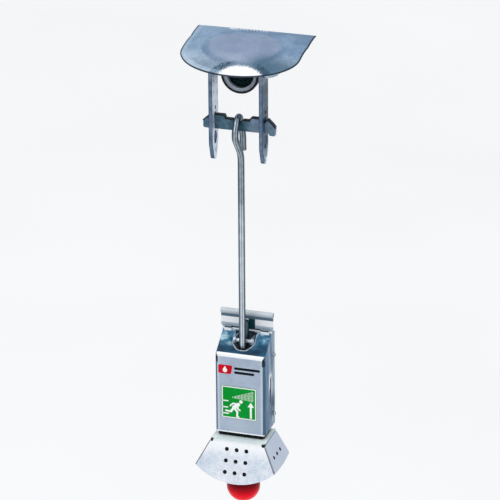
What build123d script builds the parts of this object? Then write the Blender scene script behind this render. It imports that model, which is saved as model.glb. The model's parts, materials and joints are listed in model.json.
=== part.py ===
from build123d import *
from math import cos, radians, sin
import os

# Wall-mounted emergency shower: a valve under a deflector hood, opened by a pull rod
# that carries an alarm housing with a perforated skirt and a red pull ball.
# The origin is the centre of the supply inlet at the wall. X is to the right,
# -Y comes out of the wall and Z is up. Lengths are in millimetres.

# ---- driving dimensions -------------------------------------------------------------
reach = 88.0              # wall to the pull rod's axis
rod_y = -reach
fit = 0.3                 # gap between pieces that move past each other
running = 0.05            # radial clearance of a shaft in its bore
sheet = 1.5               # thickness of the folded sheet parts

# water path
tube_r = 28.4             # outlet body, outside
mouth_r = 25.2            # outlet body, inside of the mouth
mouth_depth = 12.0
mouth_floor = 1.5
ring_r_in = 20.6          # outlet ring, inside
ring_t = 7.0
ring_inset = 1.5          # ring and strainer plate, and how far the ring stands back
jet_r = 1.3               # holes of the strainer plate
ball_valve_r = 19.5
ball_bore_r = 11.0
closed_deg = 75.0         # the ball's bore stands this far from the water way when shut
ball_to_chamber = 1.5
body_wall = 6.0
water_r = 11.5            # water way through seats and body ends
seat_depth = 6.0
seat_rim = 2.0            # chamber wall to the seat's outside
body_front_t = 3.0
body_back_t = 8.0
union_flange_t = 7.0
inlet_thread_r = 15.15    # one-inch pipe thread, inside
inlet_thread_depth = 18.0
neck_r = 19.0
flange_r = 37.5
flange_t = 6.0
flange_pcd = 60.0
flange_hole_r = 3.3
flange_nut_t = 6.0

# valve spindle and cranks
spindle_r = 6.0
boss_r = 12.5
boss_out = 6.0            # how far the spindle boss stands out of the body
packing_r = 9.0
packing_t = 5.0
gland_gap = 1.0           # gland nut to crank arm
tang = 4.8                # flat tongue of the spindle in the ball's slot
tang_h = 11.0
crank_radius = 44.0
crank_rest_deg = 15.0     # crank angle above the horizontal, valve shut
crank_t = 5.0
crank_hub_r = 9.0
crank_eye_r = 9.0
square = 9.0              # across the flats of the spindle's square end
crank_pin_r = 4.0
crank_thread_r = 3.0
crank_thread_out = 1.2    # how far the thread stands out of its nut
crank_nut_t = 3.6
crank_nut_r = 5.8
pin_head_r = 6.5
pin_head_t = 2.5
side_gap = 0.5            # link bar to the crank arm and to the pin's head

# link bars and yoke
link_offset = 11.0        # the bars hang this much in front of the rod
link_y = rod_y - link_offset
link_x = 38.0             # centre of each bar
link_t = 6.0
link_w = 27.0
link_bottom_z = -130.3
link_shoulder_z = -103.0
link_tip_r = 5.5
eye_top_z = -85.5
eye_bottom_z = -106.0
eye_w = 13.0
pin_hole_r = 2.8
pin_hole_z = -50.2
yoke_t = 8.0
yoke_bottom_z = -81.4
yoke_low_z = -64.4
yoke_high_z = -59.3
yoke_notch_z = -67.4
yoke_step_x = 20.2
yoke_notch_x = 8.6
yoke_floor_x = 4.2        # half of the rounded floor that carries the hook
yoke_left_x = -52.3
yoke_right_x = 56.6
yoke_relief = 2.5

# pull rod
wire_r = 5.0
hook_half_deg = 32.0      # half of the angle at the top of the hook
hook_front = 20.0
hook_tail = 20.5
shank_top_z = -124.0
hanger_z = -425.8         # axis of the cross pin that carries the housing
hanger_pin_r = 3.0
rod_tail_up = 29.0
rod_to_fin = 2.4          # tail of the rod to the folded fin behind it

# housing, measured from the wall and from the inlet's axis
box_w = 78.0
box_front_y = rod_y - 13.9
ridge_to_back = 14.3      # the ridge stands this far in front of the housing's back
roof_front_z = -441.5
ridge_z = -416.8
box_back_z = -418.0
box_bottom_z = -570.7
fold_r = 4.0
fin_top_z = -391.0
fin_over = 1.8            # the fin is wider than the housing by this much on each side
hem_r = 4.4
notch_w = 34.0
notch_corner_r = 14.0
side_slot_w = 7.0
side_slot_h = 48.0
side_slot_z = -508.0
base_t = 3.0
gasket_inset = 3.0
tabs = ((-29.5, 11.0), (28.5, 13.0))   # place and width of the roof's two curled tabs
tab_rise = 5.0
seam_lap = 5.0            # side screws stand this far in front of the rear shell
side_flange_h = 125.0
side_flange_z = -505.0
shell_screw_zs = (-455.0, -553.0)
bracket_screw_x = 8.0
bracket_screw_zs = (-440.0, -462.0)
bracket_x = 13.5          # middle of each ear of the hanger bracket
bracket_t = 3.0
bracket_ear_r = 6.0
bracket_bottom_z = -470.0
bracket_back_h = 46.0
hanger_head_r = 4.2
hanger_head_t = 1.2
hanger_gap = 0.02         # hanger pin in its ears

# screws: head radius, head height and shank radius
m4 = (3.8, 2.4, 2.0)
m3 = (2.8, 1.8, 1.5)
screw_hole_r = 2.1
screw_inset = 9.5         # base screws to the housing's inner wall
screw_front = 4.0
screw_back = 20.0

# electronics
board_w = 60.0
board_h = 64.0
board_t = 1.6
board_gap = 4.0
board_mid_z = -492.0
board_edge = 4.0          # board screws to the board's edge
spacer_r = 3.0
sounder_r = 14.0
sounder_t = 12.0
sounder_x = -12.0
switch_size = 10.0
switch_w = 20.0
switch_drop = 27.0
lever_gap = 0.5           # switch lever to the stem
battery_w = 26.5
battery_d = 17.5
battery_h = 48.5
battery_z = -526.0
terminal_r = 3.2
terminal_h = 3.0
terminal_x = 6.4
clip_t = 1.0
clip_h = 26.0
clip_depth = 14.0

# sign
sign_w = 54.5
sign_h = 52.7
sign_x = -1.6
sign_z = -519.8
sign_t = 0.6

# skirt
skirt_top_z = -577.5
skirt_over = 3.6          # the skirt's top is wider than the housing on each side
skirt_front_y = rod_y - 29.3
skirt_back_y = rod_y + 30.0
skirt_drop = 38.6         # from the top plate down to the corners
skirt_flare_x = 20.0
skirt_flare_front = 13.4
skirt_flare_back = 5.0
skirt_arc = 22.0          # how far the front edge bows below its corners
skirt_hole_r = 3.2
skirt_pitch = 15.4
skirt_relief_r = 3.4

# pull ball
ball_r = 25.6
ball_z = -663.4
stem_r = 4.0
stem_top_z = -533.0
collar_r = 8.5
collar_t = 3.5
spring_r = 7.0
spring_wire_r = 0.7
spring_turns = 8
bush_flange_r = 10.0
bush_flange_t = 2.5
bush_r = 6.0
ball_socket = 8.0         # the stem starts this far above the ball's centre
stop_r = 8.0
stop_t = 3.0
ball_nut_r = 7.5
ball_nut_t = 4.0

# hood
hood_w = 179.0
hood_depth = 138.4
hood_back_y = rod_y + 83.7
hood_nose = 56.0          # depth of the rounded front
hood_back_z = 39.8
hood_rise = 35.1
hood_fall = 59.0
hood_side_drop = 10.3
hood_drop_run = 40.0
hood_t = 1.5
strap_w = 10.0
strap_t = 2.0
saddle_t = 3.0
saddle_w = 32.0
ear_out = 13.0            # ears of the strap, out from the body
ear_hole_out = 8.0
ear_t = 3.2               # half of the joined ears of strap and saddle

# ---- places worked out from them ----------------------------------------------------
crank_rest = radians(crank_rest_deg)
spindle_y = link_y + crank_radius * cos(crank_rest)
crank_pin_z = crank_radius * sin(crank_rest)
chamber_r = ball_valve_r + ball_to_chamber
body_r = chamber_r + body_wall
union_flange_r = body_r - 3.0
seat_far = ball_valve_r + 0.5
chamber_front_y = spindle_y - seat_far
chamber_back_y = spindle_y + seat_far
front_face_y = chamber_front_y - body_front_t
back_face_y = chamber_back_y + body_back_t
tube_front_y = front_face_y - mouth_floor - mouth_depth
ring_y = tube_front_y + ring_inset
link_in_x = link_x - link_t / 2
link_out_x = link_x + link_t / 2
crank_in_x = link_out_x + side_gap
crank_out_x = crank_in_x + crank_t
boss_end_x = body_r + boss_out
gland_end_x = crank_in_x - gland_gap
pivot_z = yoke_notch_z - yoke_t / 2
hook_r = yoke_t / 2 + fit + wire_r
hanger_r = hanger_pin_r + fit + wire_r
hanger_y = rod_y + hanger_r
ridge_y = rod_y + 2 * hanger_r + wire_r + rod_to_fin
box_back_y = ridge_y + ridge_to_back
tab_z = ridge_z + tab_rise
roof_slope = (ridge_z - roof_front_z) / (ridge_y - box_front_y)
inner_x = box_w / 2 - sheet
inner_front_y = box_front_y + sheet
inner_back_y = box_back_y - sheet
seam_y = inner_back_y - seam_lap
base_top_z = box_bottom_z + base_t
fin_w = box_w + 2 * fin_over
skirt_w = box_w + 2 * skirt_over
screw_x = inner_x - screw_inset
screw_places = [(x, y) for x in (-screw_x, screw_x) for y in (rod_y - screw_front, rod_y + screw_back)]
board_y = inner_front_y + board_gap
board_back_y = board_y + board_t
skirt_mid_y = (skirt_front_y + skirt_back_y) / 2
bush_top_z = base_top_z + bush_flange_t
collar_z = stem_top_z - collar_t
strap_y = back_face_y - 5.0 - strap_w / 2
sides = ((-1, "left"), (1, "right"))
bracket_screw_xs = (-bracket_screw_x, bracket_screw_x)

os.makedirs("parts", exist_ok=True)


def save(builder, name):
    """Label a finished piece and write it as one STEP file."""
    builder.part.label = name
    export_step(builder.part, f"parts/{name}.step")


def outline(points, plane):
    """Closed straight-sided profile drawn in a plane."""
    with BuildSketch(plane) as profile:
        with BuildLine():
            Polyline(*points, close=True)
        make_face()
    return profile.sketch


def screw(place, size, length, turn):
    """Pan-head screw with a cross slot. Its head sits on the place given, turned from +Z."""
    head_r, head_t, shank_r = size
    with BuildPart(Plane.XY) as piece:
        Cylinder(head_r, head_t, align=(Align.CENTER, Align.CENTER, Align.MIN))
        fillet(piece.edges().group_by(Axis.Z)[-1], head_t * 0.45)
        Cylinder(shank_r, length, align=(Align.CENTER, Align.CENTER, Align.MAX))
        with Locations((0, 0, head_t)):
            Box(head_r * 1.2, head_r * 0.25, head_t * 0.8, mode=Mode.SUBTRACT)
            Box(head_r * 0.25, head_r * 1.2, head_t * 0.8, mode=Mode.SUBTRACT)
    return Pos(*place) * Rot(*turn) * piece.part


# ---- water path ---------------------------------------------------------------------
with BuildPart() as wall_flange:
    with BuildSketch(Plane.XZ):
        Circle(flange_r)
        Circle(neck_r + running, mode=Mode.SUBTRACT)
        with PolarLocations(flange_pcd / 2, 4, start_angle=45):
            Circle(flange_hole_r, mode=Mode.SUBTRACT)
    extrude(amount=flange_t)
    chamfer(wall_flange.edges().filter_by(GeomType.CIRCLE).sort_by(Axis.Y)[0], 1.0)
save(wall_flange, "wall_flange")

with BuildPart() as inlet_union:
    revolve(outline([
        (0, inlet_thread_r), (0, neck_r), (back_face_y + union_flange_t, neck_r),
        (back_face_y + union_flange_t, union_flange_r), (back_face_y, union_flange_r),
        (back_face_y, chamber_r - running),
        (chamber_back_y, chamber_r - running), (chamber_back_y, water_r),
        (-inlet_thread_depth, water_r), (-inlet_thread_depth, inlet_thread_r),
    ], Plane.YZ), axis=Axis.Y)
save(inlet_union, "inlet_union")

with BuildPart() as flange_nut:
    with BuildSketch(Plane.XZ.offset(flange_t)):
        RegularPolygon(neck_r + 5.0, 6)
        Circle(neck_r + running, mode=Mode.SUBTRACT)
    extrude(amount=flange_nut_t)
save(flange_nut, "flange_nut")

with BuildPart() as valve_body:
    revolve(outline([
        (front_face_y, chamber_r), (front_face_y, body_r),
        (back_face_y, body_r), (back_face_y, chamber_r),
    ], Plane.YZ), axis=Axis.Y)
    with Locations((0, spindle_y, 0)):
        Cylinder(boss_r, 2 * boss_end_x, rotation=(0, 90, 0))
    with Locations((0, spindle_y, 0)):
        Cylinder(chamber_r, 2 * seat_far, rotation=(90, 0, 0), mode=Mode.SUBTRACT)
        Cylinder(spindle_r + running, 2 * boss_end_x, rotation=(0, 90, 0), mode=Mode.SUBTRACT)
    for side, _ in sides:
        with Locations((side * boss_end_x, spindle_y, 0)):
            Cylinder(packing_r, 2 * packing_t, rotation=(0, 90, 0), mode=Mode.SUBTRACT)
save(valve_body, "valve_body")

with BuildPart() as outlet_body:
    revolve(outline([
        (tube_front_y, mouth_r), (tube_front_y, tube_r), (front_face_y, tube_r),
        (front_face_y, chamber_r - running), (chamber_front_y, chamber_r - running),
        (chamber_front_y, water_r), (tube_front_y + mouth_depth, water_r + 4),
        (tube_front_y + mouth_depth, mouth_r),
    ], Plane.YZ), axis=Axis.Y)
    fillet(outlet_body.edges().filter_by(GeomType.CIRCLE).group_by(Axis.Y)[0], 1.0)
save(outlet_body, "outlet_body")

with BuildPart() as outlet_ring:
    revolve(outline([
        (ring_y, ring_r_in + ring_inset), (ring_y, mouth_r), (ring_y + ring_t, mouth_r),
        (ring_y + ring_t, ring_r_in), (ring_y + ring_inset, ring_r_in),
    ], Plane.YZ), axis=Axis.Y)
save(outlet_ring, "outlet_ring")

with BuildPart() as spray_plate:
    with BuildSketch(Plane.XZ.offset(-ring_y - ring_t)):
        Circle(mouth_r)
        for radius, count in ((6, 6), (11.5, 12), (17, 18)):
            with PolarLocations(radius, count):
                Circle(jet_r, mode=Mode.SUBTRACT)
        Circle(jet_r, mode=Mode.SUBTRACT)
    extrude(amount=-ring_inset)
save(spray_plate, "spray_plate")

with BuildPart() as seat_rings:
    for turn in (0, 180):
        start = seat_far - seat_depth
        seat_r = chamber_r - seat_rim
        points = [(start, water_r), (start, seat_r), (seat_far, seat_r), (seat_far, water_r)]
        face = outline(points, Plane.YZ)
        ring = revolve(face, axis=Axis.Y, mode=Mode.PRIVATE)
        add(Pos(0, spindle_y, 0) * Rot(0, 0, turn) * ring)
    with Locations((0, spindle_y, 0)):
        Sphere(ball_valve_r + running, mode=Mode.SUBTRACT)
save(seat_rings, "seat_rings")

with BuildPart() as spindle_packing:
    for side, _ in sides:
        with Locations((side * (boss_end_x - packing_t / 2), spindle_y, 0)):
            Cylinder(packing_r, packing_t, rotation=(0, 90, 0))
            Cylinder(spindle_r + running, packing_t, rotation=(0, 90, 0), mode=Mode.SUBTRACT)
save(spindle_packing, "spindle_packing")

with BuildPart() as gland_nuts:
    for side, _ in sides:
        with BuildSketch(Plane(origin=(side * boss_end_x, spindle_y, 0), z_dir=(side, 0, 0))):
            RegularPolygon(boss_r, 6)
            Circle(spindle_r + running, mode=Mode.SUBTRACT)
        extrude(amount=gland_end_x - boss_end_x)
save(gland_nuts, "gland_nuts")

# ---- valve ball, spindles and cranks ------------------------------------------------
with BuildPart() as valve_ball:
    with Locations((0, spindle_y, 0)):
        Sphere(ball_valve_r)
        Cylinder(ball_bore_r, 3 * ball_valve_r, rotation=(90 - closed_deg, 0, 0), mode=Mode.SUBTRACT)
        for side, _ in sides:
            with Locations((side * ball_valve_r, 0, 0)):
                Box(8.0, tang + 0.2, 2 * ball_valve_r, mode=Mode.SUBTRACT)
save(valve_ball, "valve_ball")

for side, name in sides:
    with BuildPart() as spindle:
        with Locations((side * (ball_valve_r - 1.5), spindle_y, 0)):
            Box(tang, tang, tang_h)
        with Locations((side * (ball_valve_r + crank_in_x) / 2, spindle_y, 0)):
            Cylinder(spindle_r, crank_in_x - ball_valve_r, rotation=(0, 90, 0))
        with Locations((side * (crank_in_x + crank_t / 2), spindle_y, 0)):
            Box(crank_t, square, square)
        thread = crank_nut_t + crank_thread_out
        with Locations((side * (crank_out_x + thread / 2), spindle_y, 0)):
            Cylinder(crank_thread_r, thread, rotation=(0, 90, 0))
    save(spindle, f"spindle_{name}")

    with BuildPart() as crank_arm:
        crank_plane = Plane(origin=(side * crank_in_x, spindle_y, 0), x_dir=(0, 1, 0), z_dir=(side, 0, 0))
        with BuildSketch(crank_plane):
            up = side * crank_pin_z
            Circle(crank_hub_r)
            with Locations((link_y - spindle_y, up)):
                Circle(crank_eye_r)
            make_hull()
            Rectangle(square + 0.1, square + 0.1, mode=Mode.SUBTRACT)
            with Locations((link_y - spindle_y, up)):
                Circle(crank_pin_r, mode=Mode.SUBTRACT)
        extrude(amount=crank_t)
        chamfer(crank_arm.faces().sort_by(Axis.X)[-1 if side > 0 else 0].outer_wire().edges(), 0.6)
    save(crank_arm, f"crank_arm_{name}")

with BuildPart() as crank_nuts:
    for side, _ in sides:
        with BuildSketch(Plane(origin=(side * crank_out_x, spindle_y, 0), z_dir=(side, 0, 0))):
            RegularPolygon(crank_nut_r, 6)
            Circle(crank_thread_r, mode=Mode.SUBTRACT)
        extrude(amount=crank_nut_t)
save(crank_nuts, "crank_nuts")

with BuildPart() as crank_pins:
    for side, _ in sides:
        inner = link_in_x - side_gap
        for start, end, radius in (
            (inner - pin_head_t, inner, pin_head_r), (inner, crank_in_x, crank_pin_r - running),
            (crank_in_x, crank_out_x, crank_pin_r), (crank_out_x, crank_out_x + pin_head_t, 6.0),
        ):
            with Locations((side * (start + end) / 2, link_y, crank_pin_z)):
                Cylinder(radius, end - start, rotation=(0, 90, 0))
save(crank_pins, "crank_pins")

# ---- link bars and yoke -------------------------------------------------------------
window_z = yoke_bottom_z + yoke_relief
window_h = yoke_high_z - window_z + 2.0
for side, name in sides:
    with BuildPart() as link_bar:
        bar_plane = Plane(origin=(side * link_in_x, link_y, 0), x_dir=(0, 1, 0), z_dir=(side, 0, 0))
        with BuildSketch(bar_plane):
            flip = side
            half = link_w / 2
            with BuildLine():
                Polyline(
                    (-half, flip * crank_pin_z), (-half, flip * link_shoulder_z),
                    (-link_tip_r, flip * (link_bottom_z + link_tip_r / 2)), (0, flip * link_bottom_z),
                    (link_tip_r, flip * (link_bottom_z + link_tip_r / 2)),
                    (half, flip * link_shoulder_z), (half, flip * crank_pin_z), close=True)
            make_face()
            with Locations((0, flip * crank_pin_z)):
                Circle(half)
                Circle(crank_pin_r, mode=Mode.SUBTRACT)
            with Locations((0, flip * pin_hole_z)):
                Circle(pin_hole_r, mode=Mode.SUBTRACT)
            with Locations((0, flip * (window_z + window_h / 2))):
                Rectangle(yoke_t + 0.2, window_h, mode=Mode.SUBTRACT)
            with Locations((0, flip * (eye_top_z + eye_bottom_z) / 2)):
                Ellipse(eye_w / 2, (eye_top_z - eye_bottom_z) / 2, mode=Mode.SUBTRACT)
        extrude(amount=link_t)
        fillet(link_bar.edges().filter_by(Axis.X).group_by(Axis.Z)[0], link_tip_r / 2)
        fillet(link_bar.edges().filter_by(Axis.X).group_by(Axis.Z)[1:3], link_tip_r)
    save(link_bar, f"link_bar_{name}")

with BuildPart() as yoke:
    with BuildSketch(Plane.XZ.offset(-link_y - yoke_t / 2)) as yoke_face:
        with BuildLine():
            Polyline(
                (yoke_left_x, yoke_bottom_z + 1.5), (yoke_left_x, yoke_low_z - 5),
                (yoke_left_x + 5, yoke_low_z), (-link_in_x, yoke_low_z),
                (-link_in_x + 1, yoke_high_z), (-yoke_step_x, yoke_high_z),
                (-yoke_step_x + 2, yoke_low_z), (-yoke_notch_x, yoke_low_z), (-yoke_floor_x, yoke_notch_z),
                (yoke_floor_x, yoke_notch_z), (yoke_notch_x, yoke_low_z), (yoke_step_x - 2, yoke_low_z),
                (yoke_step_x, yoke_high_z), (link_in_x - 1, yoke_high_z), (link_in_x, yoke_low_z),
                (link_out_x, yoke_low_z), (link_out_x + 4, yoke_high_z), (yoke_right_x - 4, yoke_low_z - 2),
                (yoke_right_x, yoke_notch_z - 4), (yoke_right_x - 1, yoke_bottom_z - 3),
                (yoke_right_x - 8, yoke_bottom_z - 3), (link_out_x + 3, yoke_bottom_z + 4),
                (link_out_x, yoke_bottom_z), (yoke_left_x + 2, yoke_bottom_z), close=True)
        make_face()
        for side, _ in sides:
            with Locations((side * link_x, yoke_bottom_z)):
                Rectangle(link_t + 0.4, 2 * yoke_relief, mode=Mode.SUBTRACT)
    extrude(amount=yoke_t)
    with Locations((0, link_y, pivot_z)):
        Box(2 * yoke_floor_x, yoke_t, yoke_t,
            align=(Align.CENTER, Align.CENTER, Align.MIN), mode=Mode.SUBTRACT)
        Cylinder(yoke_t / 2, 2 * yoke_floor_x, rotation=(0, 90, 0))
save(yoke, "yoke")

# ---- pull rod -----------------------------------------------------------------------
hook_half = radians(hook_half_deg)
apex_z = pivot_z + hook_r / sin(hook_half)
front_corner_z = apex_z - hook_front / (sin(hook_half) / cos(hook_half))
back_corner_z = apex_z - hook_tail * 0.8 / (sin(hook_half) / cos(hook_half))
with BuildPart() as pull_rod:
    with BuildLine() as rod_path:
        FilletPolyline(
            (0, rod_y + 2 * wire_r + 0.8, shank_top_z + 4),
            (0, link_y + hook_tail, back_corner_z - 18),
            (0, link_y + hook_tail * 0.8, back_corner_z),
            (0, link_y, apex_z),
            (0, link_y - hook_front, front_corner_z),
            (0, rod_y, shank_top_z),
            (0, rod_y, hanger_z - hanger_r),
            (0, rod_y + 2 * hanger_r, hanger_z - hanger_r),
            (0, rod_y + 2 * hanger_r, hanger_z + rod_tail_up),
            radius=[20, 14, hook_r, 15, 30, hanger_r - 0.01, hanger_r - 0.01])
    with BuildSketch(Plane(origin=rod_path.line @ 0, z_dir=rod_path.line % 0)):
        Circle(wire_r)
    sweep()
save(pull_rod, "pull_rod")

# ---- housing ------------------------------------------------------------------------
box_profile = [
    (box_front_y, box_bottom_z), (box_front_y, roof_front_z), (ridge_y, ridge_z),
    (box_back_y, box_back_z), (box_back_y, box_bottom_z),
]
drop = sheet * 1.2
inner_profile = [
    (inner_front_y, box_bottom_z), (inner_front_y, roof_front_z - drop + sheet * roof_slope),
    (ridge_y, ridge_z - drop), (inner_back_y, box_back_z - drop), (inner_back_y, box_bottom_z),
]

with BuildPart() as front_shell:
    with BuildSketch(Plane.YZ.offset(-box_w / 2)):
        with BuildLine():
            Polyline(*box_profile, close=True)
        make_face()
    extrude(amount=box_w)
    fillet(front_shell.edges().filter_by(Axis.Z).group_by(Axis.Y)[0], fold_r)
    fillet(front_shell.edges().filter_by(Axis.X).filter_by(
        lambda e: abs(e.center().Y - box_front_y) < 1 and e.center().Z > box_bottom_z + 9), fold_r)
    with BuildSketch(Plane.YZ.offset(-inner_x)):
        with BuildLine():
            Polyline(*inner_profile, close=True)
        make_face()
    extrude(amount=2 * inner_x, mode=Mode.SUBTRACT)
    with BuildSketch(Plane.YZ.offset(-box_w / 2)):
        with BuildLine():
            Polyline(
                (ridge_y, ridge_z + 1), (ridge_y, ridge_z - sheet), (inner_back_y, box_back_z - sheet),
                (inner_back_y, box_bottom_z), (box_back_y, box_bottom_z),
                (box_back_y, ridge_z + 1), close=True)
        make_face()
    extrude(amount=box_w, mode=Mode.SUBTRACT)
    with BuildSketch(Plane.XY.offset(roof_front_z - 8)) as notch:
        with Locations((0, rod_y - wire_r - 1.0)):
            Rectangle(notch_w, 60, align=(Align.CENTER, Align.MIN))
        fillet(notch.vertices().group_by(Axis.Y)[0], notch_corner_r)
    extrude(amount=60, mode=Mode.SUBTRACT)
    for side, _ in sides:
        with Locations((side * (box_w / 2 - 1.6), box_front_y + 1.6, roof_front_z - 3.5)):
            Sphere(2.9, mode=Mode.SUBTRACT)
        with BuildSketch(Plane.YZ.offset(side * box_w / 2)):
            with Locations((ridge_y - 7.0, side_slot_z)):
                SlotOverall(side_slot_h, side_slot_w, rotation=90)
        extrude(amount=2 * sheet, both=True, mode=Mode.SUBTRACT)
        with Locations(*[(side * box_w / 2, seam_y, z) for z in shell_screw_zs]):
            Cylinder(screw_hole_r, 4 * sheet, rotation=(0, 90, 0), mode=Mode.SUBTRACT)
    for x, width in tabs:
        with Locations((x, ridge_y - 2.2, ridge_z - 2.5)):
            Box(width, sheet, tab_rise + 2.5 + sheet, align=(Align.CENTER, Align.CENTER, Align.MIN))
        with Locations((x, ridge_y, tab_z + sheet / 2)):
            Box(width, 6.0, sheet)
save(front_shell, "front_shell")

with BuildPart() as rear_shell:
    with BuildSketch(Plane.YZ.offset(-box_w / 2)):
        with BuildLine():
            Polyline(
                (inner_back_y, box_bottom_z), (box_back_y, box_bottom_z), (box_back_y, box_back_z),
                (ridge_y + sheet, ridge_z), (ridge_y + sheet, fin_top_z), (ridge_y, fin_top_z),
                (ridge_y, ridge_z - sheet), (inner_back_y, box_back_z - sheet), close=True)
        make_face()
    extrude(amount=box_w)
    fin_low_z = tab_z + 1.0
    with Locations((0, ridge_y + sheet / 2, (fin_low_z + fin_top_z) / 2)):
        Box(fin_w, sheet, fin_top_z - fin_low_z)
    hem_z = fin_top_z + hem_r - 0.4
    with Locations((0, ridge_y + sheet / 2, hem_z)):
        Cylinder(hem_r, fin_w, rotation=(0, 90, 0))
        Cylinder(hem_r - sheet, fin_w, rotation=(0, 90, 0), mode=Mode.SUBTRACT)
    for x, width in tabs:
        with Locations((x, ridge_y + sheet / 2, tab_z + sheet / 2)):
            Box(width + 1.0, 4 * sheet, sheet + 1.2, mode=Mode.SUBTRACT)
    for side, _ in sides:
        with Locations((side * (inner_x - 1.0), inner_back_y - 4.5, side_flange_z)):
            Box(1.6, 9.0, side_flange_h)
        with Locations(*[(side * inner_x, seam_y, z) for z in shell_screw_zs]):
            Cylinder(screw_hole_r, 8 * sheet, rotation=(0, 90, 0), mode=Mode.SUBTRACT)
    with Locations(*[(x, box_back_y, z) for x in bracket_screw_xs for z in bracket_screw_zs]):
        Cylinder(screw_hole_r, 6 * sheet, rotation=(90, 0, 0), mode=Mode.SUBTRACT)
save(rear_shell, "rear_shell")

with BuildPart() as hanger_bracket:
    for side, _ in sides:
        with BuildSketch(Plane.YZ.offset(side * bracket_x - bracket_t / 2)):
            with BuildLine():
                Polyline(
                    (inner_back_y, ridge_z - 5.2), (hanger_y, hanger_z + bracket_ear_r),
                    (hanger_y, hanger_z - bracket_ear_r), (inner_back_y, bracket_bottom_z), close=True)
            make_face()
            with Locations((hanger_y, hanger_z)):
                Circle(bracket_ear_r)
                Circle(hanger_pin_r + hanger_gap, mode=Mode.SUBTRACT)
        extrude(amount=bracket_t)
    with Locations((0, inner_back_y - 1.0, bracket_bottom_z + bracket_back_h / 2)):
        Box(2 * bracket_x + bracket_t, 2.0, bracket_back_h)
    with Locations(*[(x, inner_back_y, z) for x in bracket_screw_xs for z in bracket_screw_zs]):
        Cylinder(screw_hole_r, 12.0, rotation=(90, 0, 0), mode=Mode.SUBTRACT)
save(hanger_bracket, "hanger_bracket")

with BuildPart() as hanger_pin:
    with Locations((0, hanger_y, hanger_z)):
        ear_out_x = bracket_x + bracket_t / 2
        Cylinder(hanger_pin_r, 2 * ear_out_x + 1.0, rotation=(0, 90, 0))
        for side, _ in sides:
            with Locations((side * (ear_out_x + hanger_head_t / 2), 0, 0)):
                Cylinder(hanger_head_r, hanger_head_t, rotation=(0, 90, 0))
save(hanger_pin, "hanger_pin")

with BuildPart() as bracket_screws:
    for x in bracket_screw_xs:
        for z in bracket_screw_zs:
            add(screw((x, box_back_y, z), m4, 5.0, (-90, 0, 0)))
save(bracket_screws, "bracket_screws")

with BuildPart() as shell_screws:
    for side, _ in sides:
        for z in shell_screw_zs:
            add(screw((side * box_w / 2, seam_y, z), m4, 5.0, (0, side * 90, 0)))
save(shell_screws, "shell_screws")

with BuildPart() as base_plate:
    with BuildSketch(Plane.XY.offset(box_bottom_z)):
        with Locations((0, (inner_front_y + inner_back_y) / 2)):
            Rectangle(2 * inner_x - 4.0, inner_back_y - inner_front_y - 0.4)
        with Locations((0, rod_y)):
            Circle(bush_r + running, mode=Mode.SUBTRACT)
        with Locations(*screw_places):
            Circle(screw_hole_r, mode=Mode.SUBTRACT)
    extrude(amount=base_t)
save(base_plate, "base_plate")

with BuildPart() as neck_gasket:
    gasket_front_y = box_front_y + gasket_inset
    gasket_back_y = skirt_back_y - 2.0
    with BuildSketch(Plane.XY.offset(skirt_top_z)):
        with Locations((0, (gasket_front_y + gasket_back_y) / 2)):
            RectangleRounded(box_w - 2 * gasket_inset, gasket_back_y - gasket_front_y, 4.0)
        with Locations((0, rod_y)):
            Circle(bush_r + 2 * running, mode=Mode.SUBTRACT)
        with Locations(*screw_places):
            Circle(screw_hole_r, mode=Mode.SUBTRACT)
    extrude(amount=box_bottom_z - skirt_top_z)
save(neck_gasket, "neck_gasket")

with BuildPart() as guide_bush:
    with Locations((0, rod_y, skirt_top_z - sheet)):
        Cylinder(bush_r, base_top_z - skirt_top_z + sheet, align=(Align.CENTER, Align.CENTER, Align.MIN))
    with Locations((0, rod_y, base_top_z)):
        Cylinder(bush_flange_r, bush_flange_t, align=(Align.CENTER, Align.CENTER, Align.MIN))
    with Locations((0, rod_y, base_top_z)):
        Cylinder(stem_r + running, 60.0, mode=Mode.SUBTRACT)
save(guide_bush, "guide_bush")

hole_x = board_w / 2 - board_edge
hole_z = board_h / 2 - board_edge
board_holes = [(x, board_mid_z + z) for x in (-hole_x, hole_x) for z in (-hole_z, hole_z)]
with BuildPart() as circuit_board:
    with BuildSketch(Plane.XZ.offset(-board_y)):
        with Locations((0, board_mid_z)):
            Rectangle(board_w, board_h)
        with Locations(*board_holes):
            Circle(m3[2] + 0.1, mode=Mode.SUBTRACT)
    extrude(amount=-board_t)
save(circuit_board, "circuit_board")

with BuildPart() as board_spacers:
    for x, z in board_holes:
        with Locations((x, (inner_front_y + board_y) / 2, z)):
            Cylinder(spacer_r, board_gap, rotation=(90, 0, 0))
            Cylinder(m3[2] + 0.1, board_gap, rotation=(90, 0, 0), mode=Mode.SUBTRACT)
save(board_spacers, "board_spacers")

with BuildPart() as board_screws:
    for x, z in board_holes:
        add(screw((x, board_back_y, z), m3, 5.0, (-90, 0, 0)))
save(board_screws, "board_screws")

with BuildPart() as sounder:
    with Locations((sounder_x, board_back_y + sounder_t / 2, board_mid_z)):
        Cylinder(sounder_r, sounder_t, rotation=(90, 0, 0))
        fillet(sounder.edges().group_by(Axis.Y)[-1], 1.0)
    with Locations((sounder_x, board_back_y + sounder_t, board_mid_z)):
        Cylinder(2.0, 4.0, rotation=(90, 0, 0), mode=Mode.SUBTRACT)
save(sounder, "sounder")

with BuildPart() as microswitch:
    switch_z = board_mid_z - switch_drop
    lever_top_z = switch_z - switch_size / 2
    with Locations((0, board_back_y + switch_size / 2, switch_z)):
        Box(switch_w, switch_size, switch_size)
    with Locations((0, rod_y, lever_top_z)):
        Box(4.0, 3.0, lever_top_z - stem_top_z - lever_gap, align=(Align.CENTER, Align.CENTER, Align.MAX))
save(microswitch, "microswitch")

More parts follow.
